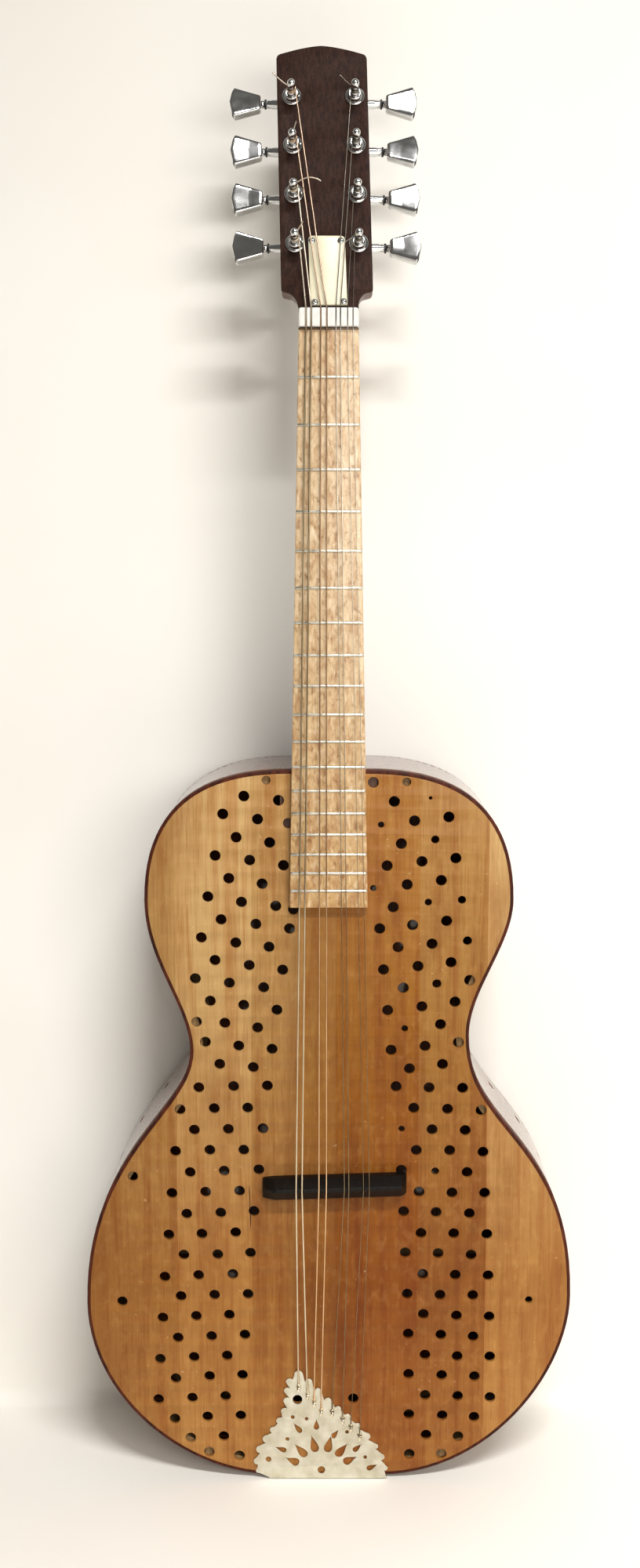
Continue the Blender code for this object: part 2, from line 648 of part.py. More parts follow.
def frame_at(origin, along):
    """A placement whose local Z runs along the direction and local X across the head."""
    side = Vector((1.0, 0.0, 0.0))
    if abs(along.dot(side)) > 0.9:
        side = HEAD_OUT
    third = along.cross(side).normalized()
    turn = Matrix((side, third, along)).transposed().to_4x4()
    return Matrix.Translation(origin) @ turn


def build_tuner(label, side, number):
    name = label + "_" + str(number + 1)
    x, v = post_place(side, number)
    back = -VENEER_THICKNESS - CLEARANCE - CORE_THICKNESS - CLEARANCE
    on_face = frame_at(head_at(x, v, 0.0), HEAD_OUT)
    shaft_v = v + SHAFT_OFFSET
    outward = Vector((side, 0.0, 0.0))

    ring = [(POST_RADIUS + CLEARANCE, -12.0), (BUSHING_RADIUS, -12.0), (BUSHING_RADIUS, CLEARANCE),
            (FLANGE_RADIUS, CLEARANCE), (FLANGE_RADIUS, 1.5), (BUSHING_RADIUS, 1.9),
            (BUSHING_RADIUS - 0.3, BUSHING_TOP), (POST_RADIUS + CLEARANCE, BUSHING_TOP)]
    turned("bushing_" + name, ring, on_face, "chrome")

    wheel = SHAFT_LEVEL
    profile = [(0.0, wheel - 4.4), (2.0, wheel - 4.4), (2.0, wheel - 2.0), (WHEEL_RADIUS, wheel - 2.0),
               (WHEEL_RADIUS, wheel + 2.0), (POST_RADIUS, wheel + 2.0), (POST_RADIUS, WAIST_BOTTOM - 0.2),
               (WAIST_RADIUS, WAIST_BOTTOM), (WAIST_RADIUS, WAIST_TOP), (POST_RADIUS, WAIST_TOP + 0.2),
               (POST_RADIUS * 0.9, POST_TOP - 0.9), (0.0, POST_TOP)]
    turned("post_" + name, profile, on_face, "chrome")

    half, floor = HOUSING_HALF, back - HOUSING_DEPTH
    corners = [(x - half, v - 6.6), (x + half, v - 6.6), (x + half, v + 10.2), (x - half, v + 10.2)]
    housing = head_slab("housing_" + name, corners, floor, back, "chrome")
    start = head_at(x, shaft_v, SHAFT_LEVEL)
    sleeve = turned("sleeve_" + name, [(0.0, half - 1.0), (3.1, half - 1.0), (3.1, 13.0), (2.5, 13.4),
                                       (2.5, SLEEVE_END), (0.0, SLEEVE_END)],
                    frame_at(start, outward))
    combine(housing, sleeve, "UNION")
    cavity = [(x - half + 1.5, v - 5.0), (x + half - 1.5, v - 5.0), (x + half - 1.5, v + 8.7),
              (x - half + 1.5, v + 8.7)]
    combine(housing, head_slab("cavity_" + name, cavity, floor + 1.5, back + 5), "DIFFERENCE")
    mesh = bmesh.new()
    bored(mesh, [start + outward * 15 * MM], SHAFT_RADIUS + CLEARANCE + 0.1, 8, outward, 26)
    combine(housing, keep(mesh, "bore_" + name), "DIFFERENCE")

    profile = [(0.0, -4.6), (WORM_RADIUS, -4.6), (WORM_RADIUS, 4.6), (SHAFT_RADIUS, 4.6),
               (SHAFT_RADIUS, SLEEVE_END + 0.5), (3.0, SLEEVE_END + 0.5), (3.0, SLEEVE_END + 1.9),
               (2.1, SLEEVE_END + 2.1), (2.1, KNOB_START + 2.0), (0.0, KNOB_START + 2.0)]
    knob = turned("knob_" + name, profile, frame_at(start, outward), "chrome", 8)
    high = KNOB_HEIGHT / 2
    thin, thick = (HEAD_OUT * size / 2 * MM for size in KNOB_THICKNESS)
    rows = []
    for a, b, deep in ((KNOB_START, 4.6, thin), (KNOB_END - 3.0, high, thick), (KNOB_END - 0.6, high / 2, thick),
                       (KNOB_END, 0.0, thick), (KNOB_END - 0.6, -high / 2, thick), (KNOB_END - 3.0, -high, thick),
                       (KNOB_START, -4.6, thin)):
        rows.append([start + outward * a * MM + HEAD_UP * b * MM + deep * turn for turn in (-1, 1)])
    mesh = bmesh.new()
    corners = [[mesh.verts.new(point) for point in row] for row in rows]
    for first, second in zip(corners, corners[1:] + corners[:1]):
        mesh.faces.new((first[0], second[0], second[1], first[1]))
    for which in (0, 1):
        mesh.faces.new([corners[0][which], corners[1][which], corners[5][which], corners[6][which]])
        mesh.faces.new([corners[place][which] for place in (1, 2, 3, 4, 5)])
    combine(knob, keep(mesh, "button_" + name), "UNION")


def string_route(string):
    """Points of one string from its pin over the bridge and the nut to the coils on its post."""
    radius = string["size"] / 2
    label, number = string["post"]
    side = -1 if label == "bass" else 1
    x, v = post_place(side, number)
    tail_x, tail_d = string["tail"][0], BODY_BOTTOM + string["tail"][1]
    ridge = ridge_place(string["bridge"])
    over_ridge = BRIDGE_TOP + SLOT_DEPTH - CLEARANCE - radius
    over_nut = STRING_REST - radius
    route = [at(tail_x, tail_d - PIN_RADIUS - CLEARANCE, TAIL_LEVEL - CLEARANCE - radius - 0.4),
             at(string["bridge"], ridge, over_ridge),
             at(string["nut"], NUT_FRONT + 0.5, over_nut), at(string["nut"], NUT_BACK - 0.5, over_nut)]
    coil = WAIST_RADIUS + LOOP_CLEARANCE + radius
    low = WAIST_BOTTOM + 0.4 + radius
    pitch = string["size"] + LOOP_GAP
    for step in range(STRING_LOOPS * LOOP_POINTS + 1):
        turn = 2 * math.pi * step / LOOP_POINTS
        route.append(head_at(x - side * coil * math.cos(turn), v + coil * math.sin(turn),
                             low + pitch * step / LOOP_POINTS))
    return route


def least_gap(route, size):
    """The least distance between parts of a string that lie over half a loop apart, less its size."""
    points = []
    for start, end in zip(route, route[1:]):
        steps = max(int((end - start).length / (0.2 * MM)), 1)
        points += [start.lerp(end, step / steps) for step in range(steps)]
    points = np.array(points[-int(140 / 0.2):]) / MM
    lengths = np.concatenate([[0], np.cumsum(np.linalg.norm(np.diff(points, axis=0), axis=1))])
    apart = np.linalg.norm(points[:, None] - points[None], axis=2)
    far = np.abs(lengths[:, None] - lengths[None]) > 2.0 * math.pi
    return float(apart[far].min()) - size


def build_strings():
    for number, string in enumerate(STRINGS, 1):
        route = string_route(string)
        curve = bpy.data.curves.new("string_" + str(number), "CURVE")
        curve.dimensions = "3D"
        curve.bevel_depth = string["size"] / 2 * MM
        curve.bevel_resolution = 1
        curve.use_fill_caps = True
        line = curve.splines.new("POLY")
        line.points.add(len(route) - 1)
        for point, place in zip(line.points, route):
            point.co = (*place, 1.0)
        made = bpy.data.objects.new("string_" + str(number), curve)
        part_group.objects.link(made)
        curve.materials.append(material_for(made.name, "bronze_wire" if number < 5 else "steel_wire"))
        print(made.name, "least gap to itself", round(least_gap(route, string["size"]), 2), "mm")


build_body()
build_neck()
build_fingerboard()
build_nut()
build_bridge()
build_tailpiece()
for tuner in range(4):
    build_tuner("bass", -1, tuner)
    build_tuner("treble", 1, tuner)
build_strings()
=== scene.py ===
import math

import bmesh
import bpy
import numpy as np
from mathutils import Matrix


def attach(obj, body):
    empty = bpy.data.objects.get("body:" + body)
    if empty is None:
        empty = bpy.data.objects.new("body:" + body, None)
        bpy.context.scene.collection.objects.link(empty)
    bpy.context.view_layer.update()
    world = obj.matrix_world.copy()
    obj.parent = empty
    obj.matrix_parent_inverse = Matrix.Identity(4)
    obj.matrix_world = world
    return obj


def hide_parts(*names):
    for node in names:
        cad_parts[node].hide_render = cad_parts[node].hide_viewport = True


# Octave mandolin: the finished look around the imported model, seen from the front and a little above its middle.
# Places are in millimetres: x across, d from the nut's front edge towards the tail, t behind the fingerboard's face.
# On the headstock v runs up its face from the nut's back edge, and n stands out of that face.

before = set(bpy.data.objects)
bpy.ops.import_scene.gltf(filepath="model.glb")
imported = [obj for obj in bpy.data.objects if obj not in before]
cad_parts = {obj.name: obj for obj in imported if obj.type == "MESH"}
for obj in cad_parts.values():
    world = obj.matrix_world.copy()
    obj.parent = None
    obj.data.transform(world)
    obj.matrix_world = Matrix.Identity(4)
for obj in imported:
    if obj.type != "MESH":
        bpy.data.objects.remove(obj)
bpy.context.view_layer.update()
mm = 0.001
sizes = {"footOfHead": -11.5, "headLevel": 3.0, "headTilt": math.radians(13.0), "faceLevel": 6.5,
         "scale": 558.8, "frets": 18, "nutHalf": 19.0, "boardEnd": 372.64, "boardEndHalf": 25.8}
chance = np.random.default_rng(11)


def at(x, d, t):  # metres, for numbers or whole arrays
    x, d, t = np.broadcast_arrays(x, d, t)
    return np.stack([x, t, sizes["footOfHead"] - d], axis=-1) * mm


def onHead(x, v, n):  # metres: up the tilted face and out of it
    x, v, n = np.broadcast_arrays(x, v, n)
    cosine, sine = math.cos(sizes["headTilt"]), math.sin(sizes["headTilt"])
    return np.stack([x, sizes["headLevel"] + v * sine - n * cosine, v * cosine + n * sine], axis=-1) * mm


# Shapes: each is an array of points and a list of faces

def gridFaces(rows, columns, wrap=True, ring=False):
    # quads between neighbouring rows; wrap joins a row's ends, ring joins the last row to the first
    r = np.arange(rows if ring else rows - 1)[:, None]
    c = np.arange(columns if wrap else columns - 1)[None]
    below, beside = (r + 1) % rows, (c + 1) % columns
    corners = np.broadcast_arrays(r * columns + c, r * columns + beside, below * columns + beside, below * columns + c)
    return np.stack(corners, axis=-1).reshape(-1, 4).tolist()


def skin(rings, wrap=True, ring=False, caps=True):
    # rows of points joined by quads, with one face over each end
    rows, columns = rings.shape[:2]
    faces = gridFaces(rows, columns, wrap, ring)
    if caps and not ring:
        faces += [list(range(columns)), list(range((rows - 1) * columns, rows * columns))]
    return rings.reshape(-1, 3), faces


def joined(shapes):
    points, faces, start = [], [], 0
    for some, others in shapes:
        points.append(some)
        faces += [[start + index for index in face] for face in others]
        start += len(some)
    return np.concatenate(points), faces


def turned(profile, origin, along, across, steps=40, closed=False):
    # a profile of radius and height in mm, carried round an axis: origin + along·height + radius·(cos·across + sin·third)
    profile = np.asarray(profile, float)
    along, across = np.asarray(along, float), np.asarray(across, float)
    turn = np.linspace(0, 2 * np.pi, steps, endpoint=False)
    round_ = np.cos(turn)[:, None] * across + np.sin(turn)[:, None] * np.cross(along, across)
    rings = origin + mm * (profile[:, 1, None, None] * along + profile[:, 0, None, None] * round_)
    return skin(rings, ring=closed, caps=not closed and profile[0, 0] > 0)


def tube(path, radius, sides=10, facing=(0.0, -1.0, 0.0)):
    # a circle carried along a path in metres: its two directions are square to the path and to the facing direction
    along = np.gradient(path, axis=0)
    along /= np.linalg.norm(along, axis=1)[:, None]
    beside = np.cross(along, np.broadcast_to(facing, path.shape))
    beside /= np.linalg.norm(beside, axis=1)[:, None]
    turn = np.linspace(0, 2 * np.pi, sides, endpoint=False)[None, :, None]
    circle = np.cos(turn) * beside[:, None] + np.sin(turn) * np.cross(beside, along)[:, None]
    size = np.broadcast_to(radius, len(path))[:, None, None] * mm
    return skin(path[:, None] + size * circle)


def smoothLine(points, steps=8):
    # a curve through every point: cubic pieces whose slopes come from the neighbouring points
    points = np.asarray(points, float)
    slope = np.gradient(points, axis=0)
    s = np.linspace(0, 1, steps, endpoint=False)[None, :, None]
    a, b, p, q = (some[:, None] for some in (points[:-1], points[1:], slope[:-1], slope[1:]))
    line = (2 * s**3 - 3 * s**2 + 1) * a + (s**3 - 2 * s**2 + s) * p + (3 * s**2 - 2 * s**3) * b + (s**3 - s**2) * q
    return np.vstack([line.reshape(-1, points.shape[1]), points[-1:]])


def softCorners(corners, cut, steps=5):
    # a closed outline with each corner cut back by the given length and rounded by a parabola
    corners = np.asarray(corners, float)
    cut = np.broadcast_to(cut, len(corners))[:, None]
    before, after = np.roll(corners, 1, axis=0) - corners, np.roll(corners, -1, axis=0) - corners
    start = corners + before / np.linalg.norm(before, axis=1)[:, None] * cut
    end = corners + after / np.linalg.norm(after, axis=1)[:, None] * cut
    s = np.linspace(0, 1, steps)[None, :, None]
    return ((1 - s)**2 * start[:, None] + 2 * s * (1 - s) * corners[:, None] + s**2 * end[:, None]).reshape(-1, 2)


def circleLine(x, y, radius, steps=20):
    turn = np.linspace(0, 2 * np.pi, steps, endpoint=False)
    return np.stack([x + radius * np.cos(turn), y + radius * np.sin(turn)], axis=-1)


def plate(outline, holes, low, high, place, edge):
    # a flat curve filled between its outline and holes, drawn out from low to high with rounded edges
    curve = bpy.data.curves.new("plate", "CURVE")
    curve.dimensions, curve.fill_mode = "2D", "BOTH"
    curve.extrude = abs(high - low) / 2 - edge
    curve.bevel_depth, curve.bevel_resolution, curve.offset = edge, 1, -edge
    for number, loop in enumerate([outline, *holes]):
        loop = np.asarray(loop, float)
        area = np.sum(loop[:, 0] * np.roll(loop[:, 1], -1) - loop[:, 1] * np.roll(loop[:, 0], -1))
        if (area > 0) != (number == 0):  # the outline runs one way round and every hole the other
            loop = loop[::-1]
        spline = curve.splines.new("POLY")
        spline.points.add(len(loop) - 1)
        spline.points.foreach_set("co", np.hstack([loop, np.tile([0.0, 1.0], (len(loop), 1))]).ravel())
        spline.use_cyclic_u = True
    holder = bpy.data.objects.new("plate", curve)
    bpy.context.scene.collection.objects.link(holder)
    mesh = bpy.data.meshes.new_from_object(holder.evaluated_get(bpy.context.evaluated_depsgraph_get()))
    points = np.empty(len(mesh.vertices) * 3)
    mesh.vertices.foreach_get("co", points)
    points = points.reshape(-1, 3)
    faces = [list(face.vertices) for face in mesh.polygons]
    bpy.data.objects.remove(holder)
    bpy.data.curves.remove(curve)
    bpy.data.meshes.remove(mesh)
    return place(points[:, 0], points[:, 1], points[:, 2] + (low + high) / 2), faces


def makePiece(name, shape, material, body="instrument", instead=(), sharp=35.0, outward=True, along=None):
    points, faces = shape
    mesh = bpy.data.meshes.new(name)
    mesh.from_pydata(points.tolist(), [], faces)
    if along is not None:
        mesh.attributes.new("along", "FLOAT", "POINT").data.foreach_set("value", along)
    work = bmesh.new()
    work.from_mesh(mesh)
    bmesh.ops.remove_doubles(work, verts=work.verts, dist=2e-6)
    if outward:
        bmesh.ops.recalc_face_normals(work, faces=work.faces)
    work.to_mesh(mesh)
    work.free()
    mesh.shade_smooth()
    mesh.set_sharp_from_angle(angle=math.radians(sharp))
    mesh.materials.append(material)
    piece = bpy.data.objects.new(name, mesh)
    bpy.context.scene.collection.objects.link(piece)
    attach(piece, body)
    if instead:
        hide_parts(*instead)
    return piece


# Materials: colours are sRGB hex values, and a pattern's scale comes from a size in millimetres

def paint(text):
    parts = [int(text[i:i + 2], 16) / 255 for i in (1, 3, 5)]
    return tuple(c / 12.92 if c <= 0.04045 else ((c + 0.055) / 1.055)**2.4 for c in parts) + (1.0,)


def per(size):  # pattern scale for features of that many millimetres
    return 1.0 / (size * mm)


def add(tree, kind, sockets=None, stops=(), **settings):
    # one node: settings are its own, and a socket takes a number, a colour or another node's output
    made = tree.nodes.new("ShaderNode" + kind)
    for key, value in settings.items():
        setattr(made, key, value)
    for key, value in (sockets or {}).items():
        if isinstance(value, bpy.types.NodeSocket):
            tree.links.new(value, made.inputs[key])
        else:
            made.inputs[key].default_value = value
    if stops:
        marks = made.color_ramp.elements
        while len(marks) < len(stops):
            marks.new(0.5)
        for mark, (place, colour) in zip(marks, stops):
            mark.position, mark.color = place, paint(colour)
    return made


def newMaterial(name, **shaderSettings):
    made = bpy.data.materials.new(name)
    made.use_nodes = True
    shader = made.node_tree.nodes["Principled BSDF"]
    for key, value in shaderSettings.items():
        shader.inputs[key.replace("_", " ")].default_value = value
    where = add(made.node_tree, "TexCoord").outputs["Object"]
    return made, made.node_tree, shader, where


def stretched(tree, where, size, stretch, detail=3.0, distortion=0.0, turn=(0.4, 0.5, 0.3)):
    # noise with features of the given size in mm, drawn out along z by the stretch
    turned_ = add(tree, "Mapping", {"Vector": where, "Rotation": turn, "Scale": (1.0, 1.0, 1.0 / stretch)})
    return add(tree, "TexNoise", {"Vector": turned_.outputs[0], "Scale": per(size), "Detail": detail,
                                  "Distortion": distortion}).outputs[0]


def spread(tree, value, low, high, to=(0.0, 1.0)):
    return add(tree, "MapRange", {"Value": value, "From Min": low, "From Max": high,
                                  "To Min": to[0], "To Max": to[1]}).outputs[0]


def mixed(tree, kind, share, first, second):
    return add(tree, "MixRGB", {"Fac": share, "Color1": first, "Color2": second}, blend_type=kind).outputs[0]


def bumped(tree, shader, height, depth, strength=0.5):
    bump = add(tree, "Bump", {"Height": height, "Distance": depth * mm, "Strength": strength})
    tree.links.new(bump.outputs[0], shader.inputs["Normal"])


def wood(name, dark, light, grain, streak, roughness, coat, bump=0.04, sheen=0.5):
    # planed and lacquered timber: fine pores along z over broader streaks, dull where the pores are open
    made, tree, shader, where = newMaterial(name, Coat_Weight=coat, Coat_Roughness=0.06, Specular_IOR_Level=sheen)
    fine = stretched(tree, where, grain, 30.0)
    broad = stretched(tree, where, streak, 22.0, 2.0, 0.3)
    both = add(tree, "Math", {0: fine, 1: spread(tree, broad, 0.3, 0.7, (-0.22, 0.22))}, operation="ADD").outputs[0]
    colour = add(tree, "ValToRGB", {"Fac": both}, stops=((0.3, dark), (0.72, light)))
    tree.links.new(colour.outputs[0], shader.inputs["Base Color"])
    tree.links.new(spread(tree, fine, 0.3, 0.7, (roughness + 0.08, roughness - 0.05)), shader.inputs["Roughness"])
    bumped(tree, shader, fine, bump)
    return made


def metal(name, dark, light, roughness, brush=0.0, smudge=4.0):
    # plated or polished metal: smudges a few mm wide change its gloss, and brushing shows as fine lines
    made, tree, shader, where = newMaterial(name, Metallic=1.0)
    cloud = add(tree, "TexNoise", {"Vector": where, "Scale": per(smudge), "Detail": 4.0}).outputs[0]
    colour = add(tree, "ValToRGB", {"Fac": cloud}, stops=((0.35, dark), (0.68, light)))
    tree.links.new(colour.outputs[0], shader.inputs["Base Color"])
    tree.links.new(spread(tree, cloud, 0.3, 0.75, (roughness * 0.7, roughness * 1.5)), shader.inputs["Roughness"])
    if brush:
        lines = stretched(tree, where, brush, 25.0, 2.0)
        bumped(tree, shader, lines, 0.03)
    return made


def soundboardVeneer():
    # flat-sawn maple leaves side by side under amber lacquer, pale at the sides and deep orange in the middle. Each
    # leaf: where it begins and which tone it has. The whole board is paler at the neck and deeper towards the tail,
    # partly in its own tone and partly as painted light from above, and painted light from below brightens it near the
    # tail
    tones = {"pale": "#b3905c", "honey": "#a37d48", "amber": "#94682e", "orange": "#8e5a14"}
    leaves = ((-170.0, "honey"), (-103.0, "pale"), (-52.0, "honey"), (-17.0, "amber"), (4.0, "orange"),
              (26.5, "orange"), (60.0, "amber"), (86.0, "amber"), (105.0, "pale"))
    ends = (-0.170, 0.170)
    made, tree, shader, where = newMaterial("lacquered_maple_veneer", Coat_Weight=0.03, Coat_Roughness=0.3, Specular_IOR_Level=0.2)
    axes = add(tree, "SeparateXYZ", {"Vector": where})
    fine = stretched(tree, where, 0.8, 34.0, 3.0, 0.2)
    broad = stretched(tree, where, 7.0, 26.0, 3.0, 0.5)
    wander = spread(tree, stretched(tree, where, 40.0, 6.0, 1.0), 0.3, 0.7, (-0.0008, 0.0008))
    across = add(tree, "Math", {0: axes.outputs["X"], 1: wander}, operation="ADD").outputs[0]
    place = spread(tree, across, *ends)
    stops = [((begin * mm - ends[0]) / (ends[1] - ends[0]), tones[tone]) for begin, tone in leaves]
    ramp = add(tree, "ValToRGB", {"Fac": place}, stops=stops)
    ramp.color_ramp.interpolation = "CONSTANT"
    # paler at the neck and deeper towards the tail: partly the veneer's own tone, partly painted light from the lamp
    # above
    upper = mixed(tree, "SCREEN", spread(tree, axes.outputs["Z"], -0.48, -0.30, (0.0, 0.2)), ramp.outputs[0],
                  paint("#c9a070"))
    ground = mixed(tree, "MULTIPLY", spread(tree, axes.outputs["Z"], -0.44, -0.64), upper, paint("#e2c49c"))
    # painted light: the board grows brighter over its last 13 cm towards the tail, where light bounced off the floor
    # falls on it
    paintedLightAtTail = mixed(tree, "SCREEN", spread(tree, axes.outputs["Z"], -0.65, -0.78, (0.0, 0.22)), ground, paint("#c98f55"))
    streaked = mixed(tree, "MULTIPLY", spread(tree, broad, 0.44, 0.68, (0.0, 0.6)), paintedLightAtTail, paint("#d8b084"))
    grained = mixed(tree, "MULTIPLY", spread(tree, fine, 0.46, 0.76, (0.0, 0.5)), streaked, paint("#cba37a"))
    # soft clouds of the figure, worn pale dots a few mm long in scattered patches, and old dirt
    cloud = stretched(tree, where, 5.0, 1.6, 4.0, 0.4)
    clouded = mixed(tree, "SCREEN", spread(tree, cloud, 0.5, 0.8, (0.0, 0.1)), grained, paint("#e8b872"))
    dots = add(tree, "TexNoise", {"Vector": where, "Scale": per(3.4), "Detail": 3.0}).outputs[0]
    patch = stretched(tree, where, 45.0, 1.5, 2.0)
    worn = add(tree, "Math", {0: spread(tree, dots, 0.66, 0.78, (0.0, 0.4)),
                              1: spread(tree, patch, 0.47, 0.62)}, operation="MULTIPLY").outputs[0]
    pale = mixed(tree, "SCREEN", worn, clouded, paint("#e8c79a"))
    dirt = stretched(tree, where, 30.0, 2.4, 4.0, 0.5)
    dirty = mixed(tree, "MULTIPLY", spread(tree, dirt, 0.5, 0.75, (0.0, 0.5)), pale, paint("#bd9468"))
    # a hairline split left of the bridge, 33 mm long
    split = {"x": -53.3, "top": 564.0, "bottom": 598.0, "half": 0.45}
    slant = add(tree, "Math", {0: axes.outputs["X"], 1: -split["x"] * mm}, operation="ADD")
    wobble = spread(tree, stretched(tree, where, 6.0, 3.0, 1.0), 0.3, 0.7, (-0.0006, 0.0006))
    off = add(tree, "Math", {0: slant.outputs[0], 1: wobble}, operation="ADD")
    near = spread(tree, add(tree, "Math", {0: off.outputs[0]}, operation="ABSOLUTE").outputs[0],
                  split["half"] * mm, split["half"] * mm * 0.4)
    foot = (sizes["footOfHead"] - split["bottom"]) * mm
    head = (sizes["footOfHead"] - split["top"]) * mm
    inside = add(tree, "Math", {0: spread(tree, axes.outputs["Z"], foot, foot + 0.006),
                                1: spread(tree, axes.outputs["Z"], head, head - 0.006)}, operation="MULTIPLY")
    crack = add(tree, "Math", {0: near, 1: inside.outputs[0]}, operation="MULTIPLY")
    colour = mixed(tree, "MIX", crack.outputs[0], dirty, paint("#3a2411"))
    tree.links.new(colour, shader.inputs["Base Color"])
    tree.links.new(spread(tree, cloud, 0.35, 0.75, (0.38, 0.52)), shader.inputs["Roughness"])
    bumped(tree, shader, fine, 0.04, 0.3)
    return made


def maplePale():
    # quilted maple under clear lacquer: cream with brown flecks and blotches, more yellow towards the body, and a
    # dark strip 1.6 mm wide where the board meets the nut
    made, tree, shader, where = newMaterial("quilted_maple", Coat_Weight=0.3, Coat_Roughness=0.2)
    axes = add(tree, "SeparateXYZ", {"Vector": where})
    ground = add(tree, "ValToRGB", {"Fac": spread(tree, axes.outputs["Z"], -0.385, -0.02)},
                 stops=((0.0, "#c29d68"), (0.6, "#d9c09b")))
    fine = stretched(tree, where, 0.7, 20.0)
    figure = stretched(tree, where, 5.5, 2.2, 4.0, 1.0)
    shaded = mixed(tree, "MULTIPLY", spread(tree, figure, 0.42, 0.68, (0.0, 0.65)), ground.outputs[0], paint("#cba67c"))
    blotch = stretched(tree, where, 2.6, 2.0, 4.0, 0.6)
    blotched = mixed(tree, "MULTIPLY", spread(tree, blotch, 0.54, 0.74, (0.0, 0.8)), shaded, paint("#a37f58"))
    pale = mixed(tree, "SCREEN", spread(tree, blotch, 0.46, 0.28, (0.0, 0.35)), blotched, paint("#f6e6cc"))
    grained = mixed(tree, "MULTIPLY", spread(tree, fine, 0.5, 0.8, (0.0, 0.5)), pale, paint("#bd9a6c"))
    start = (sizes["footOfHead"] - 2.4) * mm
    strip = spread(tree, axes.outputs["Z"], start, start + 0.0002)
    ended = mixed(tree, "MIX", strip, grained, paint("#5e452c"))
    tree.links.new(ended, shader.inputs["Base Color"])
    tree.links.new(spread(tree, figure, 0.3, 0.7, (0.3, 0.45)), shader.inputs["Roughness"])
    bumped(tree, shader, fine, 0.04, 0.3)
    return made


def smoothPolymer(name, base, mottle, roughness, size):
    # cut and polished bone or celluloid: nearly even, faint clouding, soft gloss
    made, tree, shader, where = newMaterial(name, Roughness=roughness, Subsurface_Weight=0.08,
                                            Subsurface_Radius=(0.002, 0.0015, 0.001), Subsurface_Scale=0.5)
    cloud = stretched(tree, where, size, 3.0, 4.0)
    colour = add(tree, "ValToRGB", {"Fac": cloud}, stops=((0.35, mottle), (0.65, base)))
    tree.links.new(colour.outputs[0], shader.inputs["Base Color"])
    bumped(tree, shader, cloud, 0.02, 0.3)
    return made


def paintedReflectionAlongString(tree, where, tail, board, nut, posts):
    # a string's colour changes with the place as painted reflection of the lamps: lighter or darker at the tail, over
    # the frets, at the nut and at the posts
    height = add(tree, "SeparateXYZ", {"Vector": where}).outputs["Z"]
    ends = (-0.40, 0.0)
    stops = [((z - ends[0]) / (ends[1] - ends[0]), colour) for z, colour in
             ((-0.395, tail), (-0.36, board), (-0.014, nut), (-0.006, posts))]
    return add(tree, "ValToRGB", {"Fac": spread(tree, height, *ends)}, stops=stops).outputs[0]


def plainWire():
    # bare steel with patches of tarnish; painted reflection makes it grey-brown below the board, bright over it and at
    # the nut, and dark at the posts
    made, tree, shader, where = newMaterial("plain_steel_wire", Metallic=1.0)
    tone = paintedReflectionAlongString(tree, where, "#8f7d60", "#c4bba6", "#efece2", "#7a756c")
    tarnish = add(tree, "TexNoise", {"Vector": where, "Scale": per(12.0), "Detail": 3.0}).outputs[0]
    tree.links.new(mixed(tree, "MULTIPLY", spread(tree, tarnish, 0.4, 0.7, (0.0, 0.4)), tone, paint("#b5a88f")),
                   shader.inputs["Base Color"])
    tree.links.new(spread(tree, tarnish, 0.3, 0.7, (0.24, 0.38)), shader.inputs["Roughness"])
    return made


def woundWire(name, tail, board, posts):
    # thin wire wrapped round a steel core: ridges along the string, drawn 0.9 mm apart so that they show
    made, tree, shader, where = newMaterial(name, Metallic=1.0, Roughness=0.3)
    along = add(tree, "Attribute", attribute_name="along").outputs["Fac"]
    wave = add(tree, "Math", {0: add(tree, "Math", {0: along, 1: 2 * math.pi / (0.9 * mm)},
                                     operation="MULTIPLY").outputs[0]}, operation="SINE").outputs[0]
    tarnish = add(tree, "TexNoise", {"Vector": where, "Scale": per(25.0), "Detail": 3.0}).outputs[0]
    # painted reflection: lighter or darker by place along the string
    place = paintedReflectionAlongString(tree, where, tail, board, board, posts)
    tone = mixed(tree, "MULTIPLY", spread(tree, tarnish, 0.4, 0.7, (0.0, 0.5)), place, paint("#c2ac92"))
    # painted shade in the grooves between the turns of wire
    shade = mixed(tree, "MULTIPLY", spread(tree, wave, -1.0, 0.2, (0.2, 0.0)), tone, paint("#8f7a66"))
    tree.links.new(shade, shader.inputs["Base Color"])
    bumped(tree, shader, wave, 0.05, 0.25)
    return made


